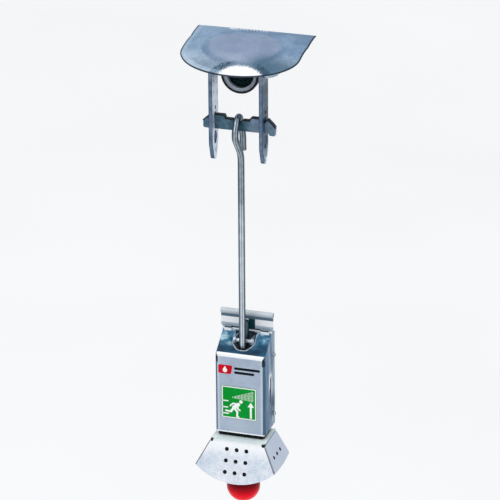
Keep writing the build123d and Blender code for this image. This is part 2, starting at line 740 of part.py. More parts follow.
battery_y = inner_back_y - clip_t - battery_d / 2
with BuildPart() as battery:
    with Locations((0, battery_y, battery_z)):
        Box(battery_w, battery_d, battery_h)
    fillet(battery.edges().filter_by(Axis.Z), 2.0)
    with Locations(*[(x, battery_y, battery_z + battery_h / 2) for x in (-terminal_x, terminal_x)]):
        Cylinder(terminal_r, terminal_h, align=(Align.CENTER, Align.CENTER, Align.MIN))
save(battery, "battery")

with BuildPart() as battery_clip:
    clip_x = (battery_w + clip_t) / 2 + 0.1
    with Locations((0, inner_back_y - clip_t / 2, battery_z)):
        Box(2 * clip_x + clip_t, clip_t, clip_h)
    for side, _ in sides:
        with Locations((side * clip_x, inner_back_y - clip_depth / 2, battery_z)):
            Box(clip_t, clip_depth, clip_h)
save(battery_clip, "battery_clip")

with BuildPart() as sign_plate:
    with BuildSketch(Plane.XZ.offset(-box_front_y)):
        with Locations((sign_x, sign_z)):
            RectangleRounded(sign_w, sign_h, 2.0)
    extrude(amount=sign_t)
save(sign_plate, "sign_plate")

# ---- skirt --------------------------------------------------------------------------
crease_z = skirt_top_z - sheet / 2
front_slope = (skirt_drop ** 2 + skirt_flare_front ** 2) ** 0.5
side_slope = (skirt_drop ** 2 + skirt_flare_x ** 2) ** 0.5
back_slope = (skirt_drop ** 2 + skirt_flare_back ** 2) ** 0.5
half_top = skirt_w / 2
half_low = half_top + skirt_flare_x
seam = 2.0
with BuildPart() as skirt:
    with BuildSketch(Plane.XY.offset(skirt_top_z - sheet)):
        with Locations((0, skirt_mid_y)):
            Rectangle(skirt_w, skirt_back_y - skirt_front_y)
        with Locations((0, rod_y)):
            Circle(bush_r + 2 * running, mode=Mode.SUBTRACT)
        with Locations(*screw_places):
            Circle(screw_hole_r, mode=Mode.SUBTRACT)
    extrude(amount=sheet)
    with BuildSketch(Plane(origin=(0, skirt_front_y, crease_z), x_dir=(1, 0, 0),
                           z_dir=(0, -skirt_drop, skirt_flare_front))):
        with BuildLine():
            Polyline((-half_low, -front_slope), (-half_top, 0), (half_top, 0), (half_low, -front_slope))
            ThreePointArc((half_low, -front_slope), (0, -front_slope - skirt_arc * 1.06),
                          (-half_low, -front_slope))
        make_face()
        for row in range(3):
            with Locations((0, -12.0 - 17.6 * row)):
                with GridLocations(skirt_pitch, 1, 3, 1):
                    Circle(skirt_hole_r, mode=Mode.SUBTRACT)
    extrude(amount=-sheet)
    for side, _ in sides:
        with BuildSketch(Plane(origin=(side * half_top, skirt_mid_y, crease_z), x_dir=(0, side, 0),
                               z_dir=(skirt_drop * side, 0, skirt_flare_x))):
            front = side * (skirt_front_y - skirt_mid_y)
            back = side * (skirt_back_y - skirt_mid_y)
            front_low = front - side * (skirt_flare_front - seam)
            back_low = back + side * skirt_flare_back
            with BuildLine():
                Polyline((front_low, -side_slope), (front + side * seam, 0), (back - side * 4, 0),
                         (back, -4), (back_low, -side_slope))
                ThreePointArc((back_low, -side_slope), ((front_low + back_low) / 2, -side_slope - 2.5),
                              (front_low, -side_slope))
            make_face()
            with Locations((side * (rod_y - 3.0 - skirt_mid_y), -26.5)):
                with GridLocations(skirt_pitch, 1, 3, 1):
                    Circle(skirt_hole_r, mode=Mode.SUBTRACT)
        extrude(amount=-sheet)
    with BuildSketch(Plane(origin=(0, skirt_back_y, crease_z), x_dir=(-1, 0, 0),
                           z_dir=(0, skirt_drop, skirt_flare_back))):
        with BuildLine():
            Polyline((-half_low + seam, -back_slope), (-half_top + seam, 0), (half_top - seam, 0),
                     (half_low - seam, -back_slope), close=True)
        make_face()
    extrude(amount=-sheet)
    for side, _ in sides:
        with Locations((side * (half_top - 1.6), skirt_front_y + 1.6, skirt_top_z)):
            Cylinder(skirt_relief_r, 8.0, mode=Mode.SUBTRACT)
save(skirt, "skirt")

with BuildPart() as skirt_screws:
    for x, y in screw_places:
        add(screw((x, y, skirt_top_z - sheet), m4, 13.0, (180, 0, 0)))
save(skirt_screws, "skirt_screws")

# ---- pull ball ----------------------------------------------------------------------
with BuildPart() as pull_ball:
    with Locations((0, rod_y, ball_z)):
        Sphere(ball_r)
        with Locations((0, 0, ball_socket)):
            Cylinder(stem_r, 30.0, align=(Align.CENTER, Align.CENTER, Align.MIN), mode=Mode.SUBTRACT)
save(pull_ball, "pull_ball")

with BuildPart() as stem:
    stem_low_z = ball_z + ball_socket
    with Locations((0, rod_y, stem_low_z)):
        Cylinder(stem_r, stem_top_z - stem_low_z, align=(Align.CENTER, Align.CENTER, Align.MIN))
    chamfer(stem.edges().group_by(Axis.Z)[-1], 0.8)
save(stem, "stem")

with BuildPart() as stem_collar:
    with Locations((0, rod_y, collar_z)):
        Cylinder(collar_r, collar_t - 0.8, align=(Align.CENTER, Align.CENTER, Align.MIN))
        Cylinder(stem_r, 20.0, mode=Mode.SUBTRACT)
save(stem_collar, "stem_collar")

with BuildPart() as stop_ring:
    with Locations((0, rod_y, skirt_top_z - sheet - fit)):
        Cylinder(stop_r, stop_t, align=(Align.CENTER, Align.CENTER, Align.MAX))
        Cylinder(stem_r, 20.0, mode=Mode.SUBTRACT)
save(stop_ring, "stop_ring")

with BuildPart() as ball_nut:
    with BuildSketch(Plane.XY.offset(ball_z + ball_r)):
        with Locations((0, rod_y)):
            RegularPolygon(ball_nut_r, 6)
            Circle(stem_r, mode=Mode.SUBTRACT)
    extrude(amount=ball_nut_t)
save(ball_nut, "ball_nut")

spring_low_z = bush_top_z + spring_wire_r
spring_height = collar_z - spring_wire_r - spring_low_z
with BuildPart() as return_spring:
    coil = Pos(0, rod_y, spring_low_z) * Helix(spring_height / spring_turns, spring_height, spring_r)
    with BuildSketch(Plane(origin=coil @ 0, z_dir=coil % 0)):
        Circle(spring_wire_r)
    sweep(path=coil, is_frenet=True)
save(return_spring, "return_spring")


# ---- hood ---------------------------------------------------------------------------
def hood_section(run, below, thickness):
    """Arched band across the hood, a run in front of its back edge."""
    share = run / hood_depth
    crown = hood_back_z + hood_rise * share - hood_fall * share ** 2 - below
    sag = hood_side_drop * min(1.0, max(0.04, run / hood_drop_run))
    half = hood_w / 2 + 3.0
    edge = crown - sag
    with BuildSketch(Plane(origin=(0, hood_back_y - run, 0), x_dir=(1, 0, 0), z_dir=(0, -1, 0))) as band:
        with BuildLine():
            ThreePointArc((-half, edge), (0, crown), (half, edge))
            Line((half, edge), (half, edge - thickness))
            ThreePointArc((half, edge - thickness), (0, crown - thickness), (-half, edge - thickness))
            Line((-half, edge - thickness), (-half, edge))
        make_face()
    return band.sketch


hood_runs = [hood_depth * share for share in (0, 0.12, 0.3, 0.5, 0.75, 1.01)]
with BuildPart() as hood:
    loft(sections=[hood_section(run, 0, hood_t) for run in hood_runs])
    with BuildSketch(Plane.XY):
        with Locations((0, hood_back_y)):
            Rectangle(hood_w, hood_depth - hood_nose, align=(Align.CENTER, Align.MAX))
        with Locations((0, hood_back_y - hood_depth + hood_nose)):
            Ellipse(hood_w / 2, hood_nose)
    extrude(amount=80, mode=Mode.INTERSECT)
save(hood, "hood")

saddle_front_y = front_face_y + 4.0
saddle_back_y = strap_y + strap_w / 2
ear_places = [(side * (body_r + ear_hole_out), strap_y, 0) for side, _ in sides]
with BuildPart() as hood_saddle:
    with Locations((0, (saddle_front_y + saddle_back_y) / 2, 0)):
        Box(saddle_w, saddle_back_y - saddle_front_y, 80.0, align=(Align.CENTER, Align.CENTER, Align.MIN))
    with Locations((0, strap_y, 0)):
        Cylinder(body_r + saddle_t, strap_w, rotation=(90, 0, 0))
        Box(2 * (body_r + ear_out), strap_w, 2 * ear_t)
    with Locations((0, strap_y, 0)):
        Cylinder(body_r, 300.0, rotation=(90, 0, 0), mode=Mode.SUBTRACT)
        Box(300.0, 200.0, 90.0, align=(Align.CENTER, Align.CENTER, Align.MAX), mode=Mode.SUBTRACT)
    loft(sections=[hood_section(run, hood_t - 60.0, 60.0) for run in hood_runs], mode=Mode.SUBTRACT)
    with Locations(*ear_places):
        Cylinder(screw_hole_r, 20.0, mode=Mode.SUBTRACT)
save(hood_saddle, "hood_saddle")

with BuildPart() as saddle_strap:
    with Locations((0, strap_y, 0)):
        Cylinder(body_r + strap_t, strap_w, rotation=(90, 0, 0))
        Box(2 * (body_r + ear_out), strap_w, 6.0)
        Cylinder(body_r, 20.0, rotation=(90, 0, 0), mode=Mode.SUBTRACT)
    with Locations((0, strap_y, 0)):
        Box(300.0, 200.0, 90.0, align=(Align.CENTER, Align.CENTER, Align.MIN), mode=Mode.SUBTRACT)
    with Locations(*ear_places):
        Cylinder(screw_hole_r, 20.0, mode=Mode.SUBTRACT)
save(saddle_strap, "saddle_strap")

with BuildPart() as strap_screws:
    for x, y, _ in ear_places:
        add(screw((x, y, ear_t), (3.6, 2.4, 2.0), 8.0, (0, 0, 0)))
save(strap_screws, "strap_screws")
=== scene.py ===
"""Emergency shower with a pull rod: finishes, fine pieces, light and camera around the CAD frame."""
import json
from math import atan2, cos, hypot, pi, radians, sin

import bmesh
import bpy
from mathutils import Matrix, Vector

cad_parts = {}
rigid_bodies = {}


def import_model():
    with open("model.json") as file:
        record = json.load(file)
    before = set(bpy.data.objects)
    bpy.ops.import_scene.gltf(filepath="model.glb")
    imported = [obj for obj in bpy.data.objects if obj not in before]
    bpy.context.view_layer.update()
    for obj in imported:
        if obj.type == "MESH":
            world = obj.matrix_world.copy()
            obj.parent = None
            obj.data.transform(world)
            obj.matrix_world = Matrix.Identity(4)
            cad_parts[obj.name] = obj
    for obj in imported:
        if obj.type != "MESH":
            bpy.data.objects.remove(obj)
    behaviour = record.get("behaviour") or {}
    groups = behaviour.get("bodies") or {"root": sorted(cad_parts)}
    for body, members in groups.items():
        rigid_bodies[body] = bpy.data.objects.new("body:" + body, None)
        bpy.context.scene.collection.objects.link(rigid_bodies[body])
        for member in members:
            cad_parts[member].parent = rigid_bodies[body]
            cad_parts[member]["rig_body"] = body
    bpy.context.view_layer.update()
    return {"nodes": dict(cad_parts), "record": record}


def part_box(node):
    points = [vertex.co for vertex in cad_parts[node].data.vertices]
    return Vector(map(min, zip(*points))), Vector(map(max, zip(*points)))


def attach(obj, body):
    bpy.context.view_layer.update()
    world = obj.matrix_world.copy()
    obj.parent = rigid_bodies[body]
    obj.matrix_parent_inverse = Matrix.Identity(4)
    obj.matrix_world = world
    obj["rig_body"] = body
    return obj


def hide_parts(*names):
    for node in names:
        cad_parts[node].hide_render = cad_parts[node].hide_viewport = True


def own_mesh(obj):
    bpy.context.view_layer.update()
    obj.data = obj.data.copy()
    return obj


MM = 0.001

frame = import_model()
nodes = frame["nodes"]
slot_of = {part["node"]: part["material_slot"] for part in frame["record"]["subparts"]}
body_of = {name: thing["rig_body"] for name, thing in nodes.items()}

# ---- places taken from the frame ------------------------------------------------------
hood_low, hood_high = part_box("hood")
tube_low, tube_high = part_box("outlet_body")
ring_low, ring_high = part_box("outlet_ring")
shell_low, shell_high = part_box("front_shell")
rear_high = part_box("rear_shell")[1]
sign_low, sign_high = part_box("sign_plate")
skirt_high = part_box("skirt")[1]
ball_low, ball_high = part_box("pull_ball")
spring_low, spring_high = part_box("return_spring")
link_low, link_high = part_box("link_bar_right")
ROD_Y = (ball_low.y + ball_high.y) / 2

# ---- sizes of the housing's roof, in metres ----------------------------------------------
ROOF_FRONT_Z = -0.4415
RIDGE_Y = -0.064
RIDGE_Z = -0.4168
ROOF_SLOPE = (RIDGE_Z - ROOF_FRONT_Z) / (RIDGE_Y - shell_low.y)
NOTCH_HALF = 0.017
NOTCH_FRONT_Y = -0.094
NOTCH_CORNER = 0.014

LINK_X = (link_low.x + link_high.x) / 2
WELD = 0.002 * MM            # points nearer than this are one
FLAT_TURN = radians(0.4)     # faces that turn less than this are one flat

# ---- sizes of the skirt -------------------------------------------------------------------
SKIRT_DROP = 0.0386          # from the crease under the ledge down to the corners
SKIRT_HALF = shell_high.x + 0.0036   # at the crease
SKIRT_FLARE_SIDE = 0.020
SKIRT_FLARE_FRONT = 0.0134
SKIRT_FLARE_BACK = 0.005
SKIRT_FRONT = 0.0293         # from the rod forward to the front crease
SKIRT_BACK = 0.030


# =========================================================================================
# Materials. Every pattern is in metres on the piece itself.
# =========================================================================================
def new_material(name, metallic, roughness, sockets=()):
    """Principled material; sockets holds its other constant values."""
    made = bpy.data.materials.new(name)
    made.use_nodes = True
    shader = made.node_tree.nodes["Principled BSDF"]
    shader.inputs["Metallic"].default_value = metallic
    shader.inputs["Roughness"].default_value = roughness
    for socket, value in dict(sockets).items():
        shader.inputs[socket].default_value = value
    return made, made.node_tree, shader


def add(tree, kind, inputs=(), **settings):
    """One node, its settings, and its inputs as values or as sockets to join."""
    made = tree.nodes.new(kind)
    for name, value in settings.items():
        setattr(made, name, value)
    for name, value in dict(inputs).items():
        if isinstance(value, bpy.types.NodeSocket):
            tree.links.new(value, made.inputs[name])
        else:
            made.inputs[name].default_value = value
    return made


def noise(tree, scale, stretch=(1, 1, 1), detail=4.0, rough=0.55, place=(0, 0, 0)):
    """Noise with that many features per metre, stretched along the axes."""
    spot = add(tree, "ShaderNodeTexCoord").outputs["Object"]
    moved = add(tree, "ShaderNodeMapping", {"Vector": spot, "Location": place, "Scale": stretch})
    made = add(tree, "ShaderNodeTexNoise", {
        "Vector": moved.outputs["Vector"], "Scale": scale, "Detail": detail, "Roughness": rough})
    return made.outputs["Fac"]


def cells(tree, scale, feature="F1", output="Distance"):
    """Voronoi cells with that many per metre."""
    spot = add(tree, "ShaderNodeTexCoord").outputs["Object"]
    made = add(tree, "ShaderNodeTexVoronoi", {"Vector": spot, "Scale": scale}, feature=feature)
    return made.outputs[output]


def ramp(tree, value, stops):
    """Colour ramp through (place, colour) stops."""
    made = add(tree, "ShaderNodeValToRGB", {"Fac": value})
    marks = made.color_ramp.elements
    marks.remove(marks[1])
    marks[0].position = stops[0][0]
    marks[0].color = (*stops[0][1], 1)
    for place, colour in stops[1:]:
        marks.new(place).color = (*colour, 1)
    return made.outputs["Color"]


def maths(tree, operation, first, second=0.0, clamp=False, third=0.0):
    """One sum on values or sockets."""
    made = add(tree, "ShaderNodeMath", {0: first, 1: second, 2: third}, operation=operation, use_clamp=clamp)
    return made.outputs[0]


def times(tree, first, *others):
    """Product of values or sockets."""
    for other in others:
        first = maths(tree, "MULTIPLY", first, other)
    return first


def rise(tree, value, low, high):
    """0 below low, 1 above high, with a smooth step between; low may be the larger."""
    made = add(tree, "ShaderNodeMapRange", {"Value": value, "From Min": low, "From Max": high},
               interpolation_type="SMOOTHSTEP")
    return made.outputs["Result"]


def mixed(tree, share, first, second, mode="MIX"):
    """Two colours mixed by a share."""
    made = add(tree, "ShaderNodeMix", data_type="RGBA", blend_type=mode)
    for index, value in ((0, share), (6, first), (7, second)):
        if isinstance(value, bpy.types.NodeSocket):
            tree.links.new(value, made.inputs[index])
        elif index:
            made.inputs[index].default_value = (*value, 1)
        else:
            made.inputs[index].default_value = value
    return made.outputs[2]


def axes(tree, output="Object"):
    """X, Y and Z of the piece's coordinates, or of its own normal."""
    spot = add(tree, "ShaderNodeTexCoord").outputs[output]
    made = add(tree, "ShaderNodeSeparateXYZ", {"Vector": spot})
    return made.outputs["X"], made.outputs["Y"], made.outputs["Z"]


def bumped(tree, shader, layers):
    """Bumps in a chain: (height socket, strength, depth in metres)."""
    last = None
    for height, strength, depth in layers:
        inputs = {"Height": height, "Strength": strength, "Distance": depth}
        if last is not None:
            inputs["Normal"] = last
        last = add(tree, "ShaderNodeBump", inputs).outputs["Normal"]
    tree.links.new(last, shader.inputs["Normal"])


def corner_shade(tree, reach):
    """1 deep in the piece's own corners and holes, 0 in the open: the mask for painted shade."""
    made = add(tree, "ShaderNodeAmbientOcclusion", {"Distance": reach}, samples=6, only_local=True)
    return rise(tree, made.outputs["AO"], 0.85, 0.25)


def edge_line(tree):
    """High where the surface faces none of the three axes squarely, as on a broken edge."""
    squarest = 0.0
    for part in axes(tree, "Normal"):
        squarest = maths(tree, "MAXIMUM", maths(tree, "ABSOLUTE", part), squarest)
    return rise(tree, squarest, 0.975, 0.90)


def oval(tree, x, y, centre, half):
    """1 on an ellipse round centre, less inside it and more outside."""
    parts = [maths(tree, "POWER", maths(tree, "DIVIDE", maths(tree, "SUBTRACT", value, middle), size), 2.0)
             for value, middle, size in zip((x, y), centre, half)]
    return maths(tree, "ADD", *parts)


def band(tree, value, low, high, soft):
    """1 between low and high, with soft ends."""
    return times(tree, rise(tree, value, low - soft, low), rise(tree, value, high + soft, high))


def tint(tree, colour, other, *shares):
    """Colour turned towards another by the product of the shares."""
    return mixed(tree, times(tree, *shares), colour, other)


def sheet_metal(name, tones, metallic, roughness, grain, patch=28.0, worn=(0.80, 0.86, 0.93), edge_wear_and_sheen=0.5,
                dark=(0.012, 0.022, 0.035), relief=0.22, gloss=0.35):
    """Brushed or plated sheet: three tones in patches, hairlines along grain, pale edges that are partly wear
    and partly painted highlight, and painted shade in its corners.
    """
    made, tree, shader = new_material(name, metallic, roughness, {"Specular IOR Level": gloss})
    patches = noise(tree, patch, detail=6.0, rough=0.62)
    colour = ramp(tree, patches, [(0.34, tones[0]), (0.5, tones[1]), (0.66, tones[2])])
    hairs = noise(tree, 60.0, stretch=grain, detail=4.0, rough=0.75)
    colour = mixed(tree, 0.35, colour, ramp(tree, hairs, [(0.32, (0.42, 0.47, 0.54)), (0.62, (1, 1, 1))]),
                   "MULTIPLY")
    # Pale broken edges in the worn colour: partly real wear, partly a painted highlight along the edges.
    wear_and_sheen_edges = times(tree, edge_line(tree), noise(tree, 180.0, detail=3.0))
    colour = tint(tree, colour, worn, maths(tree, "MULTIPLY", wear_and_sheen_edges, 2 * edge_wear_and_sheen, clamp=True))
    # Painted shade darkens the piece's own corners and holes.
    colour = tint(tree, colour, dark, corner_shade(tree, 5 * MM), 0.85)
    smudges = noise(tree, 14.0, detail=6.0, rough=0.65, place=(3, 1, 2))
    rough = maths(tree, "ADD", times(tree, smudges, 0.22), roughness - 0.11)
    rough = maths(tree, "ADD", rough, times(tree, hairs, 0.08), clamp=True)
    tree.links.new(rough, shader.inputs["Roughness"])
    bumped(tree, shader, [(hairs, relief, 0.00012), (patches, 0.10, 0.0012)])
    return made, tree, shader, colour


def plain_metal(name, tones, metallic, roughness, grain, patch=60.0):
    """Sheet metal with nothing painted over it beyond sheet_metal's own marks, its painted edge highlight and
    corner shade among them.
    """
    made, tree, shader, colour = sheet_metal(name, tones, metallic, roughness, grain, patch)
    tree.links.new(colour, shader.inputs["Base Color"])
    return made


RIM_DISTANCE = "rim_distance"    # metres from the hood's curved edge, on each of its vertices
HIGHLIGHT_X = 0.0165             # middle of the hood's painted highlight


def hood_steel():
    """Blue-grey brushed hood with painted reflections and shade: mauve dish, darker right front, a white
    highlight painted on its nose, and a dark line painted along its rim.
    """
    made, tree, shader, colour = sheet_metal(
        "hood_steel", ((0.16, 0.27, 0.42), (0.23, 0.36, 0.53), (0.32, 0.45, 0.62)),
        0.35, 0.42, (1.0, 26.0, 1.0), 30.0, relief=0.3, gloss=0.2)
    x, y = axes(tree)[:2]
    grit = noise(tree, 430.0, detail=3.0, rough=0.8)
    colour = mixed(tree, 0.45, colour,
                   ramp(tree, grit, [(0.40, (0.30, 0.37, 0.44)), (0.56, (1.0, 1.0, 1.0))]),
                   "MULTIPLY")
    # Painted reflections: tones in and around the pressed dish, darker towards the front.
    dish = maths(tree, "ADD", oval(tree, x, y, (0.002, -0.074), (0.058, 0.047)),
                 times(tree, noise(tree, 40.0), 0.22))
    colour = tint(tree, colour, (0.29, 0.33, 0.46), rise(tree, dish, 1.1, 0.8), 0.55)
    colour = tint(tree, colour, (0.36, 0.50, 0.64), rise(tree, dish, 1.15, 1.5),
                  rise(tree, x, 0.005, -0.03), 0.25)
    colour = tint(tree, colour, (0.07, 0.14, 0.23), band(tree, dish, 1.06, 1.14, 0.22),
                  rise(tree, y, -0.04, -0.10), 0.35)
    colour = tint(tree, colour, (0.08, 0.16, 0.25), band(tree, dish, 1.3, 2.0, 0.5),
                  rise(tree, y, -0.10, -0.125), 0.55)
    # Painted shade on the right front and the back right corner.
    right = times(tree, rise(tree, x, 0.0, 0.045), rise(tree, y, -0.080, -0.115))
    colour = tint(tree, colour, (0.04, 0.11, 0.18), right, 0.85)
    corner = times(tree, rise(tree, x, 0.045, 0.085), rise(tree, y, -0.06, -0.02))
    colour = tint(tree, colour, (0.13, 0.22, 0.35), corner, 0.6)
    # Painted highlight on the nose, ringed by dark painted specks.
    nose = maths(tree, "ADD", oval(tree, x, y, (HIGHLIGHT_X, -0.151), (0.036, 0.027)),
                 times(tree, noise(tree, 420.0, detail=3.0, rough=0.75), 0.9))
    halo = rise(tree, maths(tree, "ABSOLUTE", maths(tree, "SUBTRACT", x, HIGHLIGHT_X)), 0.008, 0.026)
    colour = tint(tree, colour, (0.02, 0.06, 0.10), band(tree, nose, 1.75, 2.3, 0.4), halo,
                  rise(tree, grit, 0.40, 0.52))
    colour = tint(tree, colour, (0.96, 0.97, 0.98), rise(tree, nose, 1.72, 1.30))
    # Painted dark line along the rim, with a painted pale band inside it on the left.
    inward = add(tree, "ShaderNodeAttribute", attribute_name=RIM_DISTANCE).outputs["Fac"]
    left = rise(tree, x, 0.03, -0.02)
    colour = tint(tree, colour, (0.50, 0.64, 0.76), band(tree, inward, 0.0030, 0.0075, 0.0025), left, grit,
                  0.6)
    colour = tint(tree, colour, (0.008, 0.025, 0.045), rise(tree, inward, 0.0027, 0.0015), 0.97)
    tree.links.new(colour, shader.inputs["Base Color"])
    return made


def link_steel():
    """Flat bars with painted light and shade: mid blue-grey front edges with dark strips beside them; the
    left bar's flat painted pale, the right one's painted deep blue.
    """
    made, tree, shader, colour = sheet_metal(
        "link_steel", ((0.07, 0.12, 0.20), (0.12, 0.18, 0.28), (0.19, 0.27, 0.39)),
        0.25, 0.38, (30.0, 30.0, 1.2), 70.0, edge_wear_and_sheen=0.0)
    x, _, z = axes(tree)
    facing = axes(tree, "Normal")
    side = rise(tree, maths(tree, "ABSOLUTE", facing[0]), 0.6, 0.9)
    off_centre = maths(tree, "ABSOLUTE", maths(tree, "SUBTRACT", maths(tree, "ABSOLUTE", x), LINK_X))
    # Painted shade: dark strips along both sides of each bar's front edge.
    colour = tint(tree, colour, (0.02, 0.05, 0.09), rise(tree, off_centre, 0.0016, 0.0024),
                  rise(tree, facing[1], -0.6, -0.9), 0.8)
    # Painted light and shade on the flats: pale on the left bar, deep blue on the right bar, paler low down
    # on the right.
    light_and_shade_blotches = noise(tree, 90.0, detail=5.0, rough=0.65, place=(2, 7, 1))
    pale = ramp(tree, light_and_shade_blotches, [(0.36, (0.30, 0.42, 0.54)), (0.46, (0.70, 0.80, 0.90)),
                               (0.7, (0.88, 0.93, 0.98))])
    colour = tint(tree, colour, pale, side, rise(tree, x, 0.0, -0.01))
    deep = ramp(tree, light_and_shade_blotches, [(0.35, (0.004, 0.022, 0.05)), (0.5, (0.015, 0.05, 0.10)),
                               (0.68, (0.06, 0.12, 0.20))])
    colour = tint(tree, colour, deep, side, rise(tree, x, 0.0, 0.01), rise(tree, z, -0.115, -0.09))
    low = ramp(tree, light_and_shade_blotches, [(0.40, (0.10, 0.17, 0.26)), (0.52, (0.30, 0.40, 0.52)),
                              (0.62, (0.80, 0.84, 0.88))])
    colour = tint(tree, colour, low, side, rise(tree, x, 0.0, 0.01), rise(tree, z, -0.10, -0.125))
    # Painted shade along the rounded edges.
    colour = tint(tree, colour, (0.02, 0.05, 0.09), edge_line(tree), 0.75)
    colour = tint(tree, colour, (0.55, 0.60, 0.70), rise(tree, z, -0.008, -0.002), 0.2)
    tree.links.new(colour, shader.inputs["Base Color"])
    return made


def yoke_steel():
    """Teal-grey plate with its top faces painted nearly black as shade and painted dark edge lines, paler at
    its hooked right end.
    """
    made, tree, shader, colour = sheet_metal(
        "yoke_steel", ((0.022, 0.075, 0.11), (0.05, 0.12, 0.17), (0.10, 0.19, 0.26)),
        0.25, 0.42, (3.0, 20.0, 20.0), 90.0, edge_wear_and_sheen=0.0)
    x = axes(tree)[0]
    facing = axes(tree, "Normal")
    colour = tint(tree, colour, (0.24, 0.33, 0.45), rise(tree, x, 0.012, 0.022), noise(tree, 160.0), 0.9)
    # Painted shade: the top faces turned nearly black.
    colour = tint(tree, colour, (0.003, 0.006, 0.010), rise(tree, facing[2], 0.2, 0.5), 0.97)
    # Painted shade along the rounded edges.
    colour = tint(tree, colour, (0.008, 0.018, 0.028), edge_line(tree), 0.8)
    tree.links.new(colour, shader.inputs["Base Color"])
    return made


BANDS_ACROSS = (0.954, 0.298)    # X and Y of the wire's bands, fixed along the camera's right


def bright_steel():
    """Drawn wire with painted light: dark sides, a pale band and a fine dark line, for one side only, and
    painted shade behind the rod and on the top hook.
    """
    made, tree, shader, colour = sheet_metal(
        "bright_steel", ((0.30, 0.36, 0.43), (0.40, 0.45, 0.51), (0.56, 0.61, 0.66)),
        0.6, 0.28, (40.0, 40.0, 1.0), 80.0, edge_wear_and_sheen=0.0)
    facing = axes(tree, "Normal")
    across = maths(tree, "ADD", *(times(tree, part, share) for part, share in zip(facing, BANDS_ACROSS)))
    far = maths(tree, "ABSOLUTE", across)
    colour = tint(tree, colour, (0.80, 0.85, 0.90), band(tree, far, 0.18, 0.34, 0.12), 0.7)
    colour = tint(tree, colour, (0.03, 0.07, 0.10), band(tree, across, 0.00, 0.10, 0.07), 0.75)
    colour = tint(tree, colour, (0.02, 0.07, 0.10), rise(tree, far, 0.46, 0.74), 0.94)
    y, z = axes(tree)[1:]
    # Painted shade on the wire where it runs behind the rod.
    tail = times(tree, rise(tree, y, ROD_Y + 0.008, ROD_Y + 0.012), band(tree, z, -0.435, -0.200, 0.004))
    colour = tint(tree, colour, (0.006, 0.045, 0.060), tail, 0.85)
    # Painted shade, in patches, on the top hook.
    hook = times(tree, rise(tree, z, -0.215, -0.195), noise(tree, 120.0, detail=4.0))
    colour = tint(tree, colour, (0.02, 0.055, 0.08), hook, 0.9)
    tree.links.new(colour, shader.inputs["Base Color"])
    return made


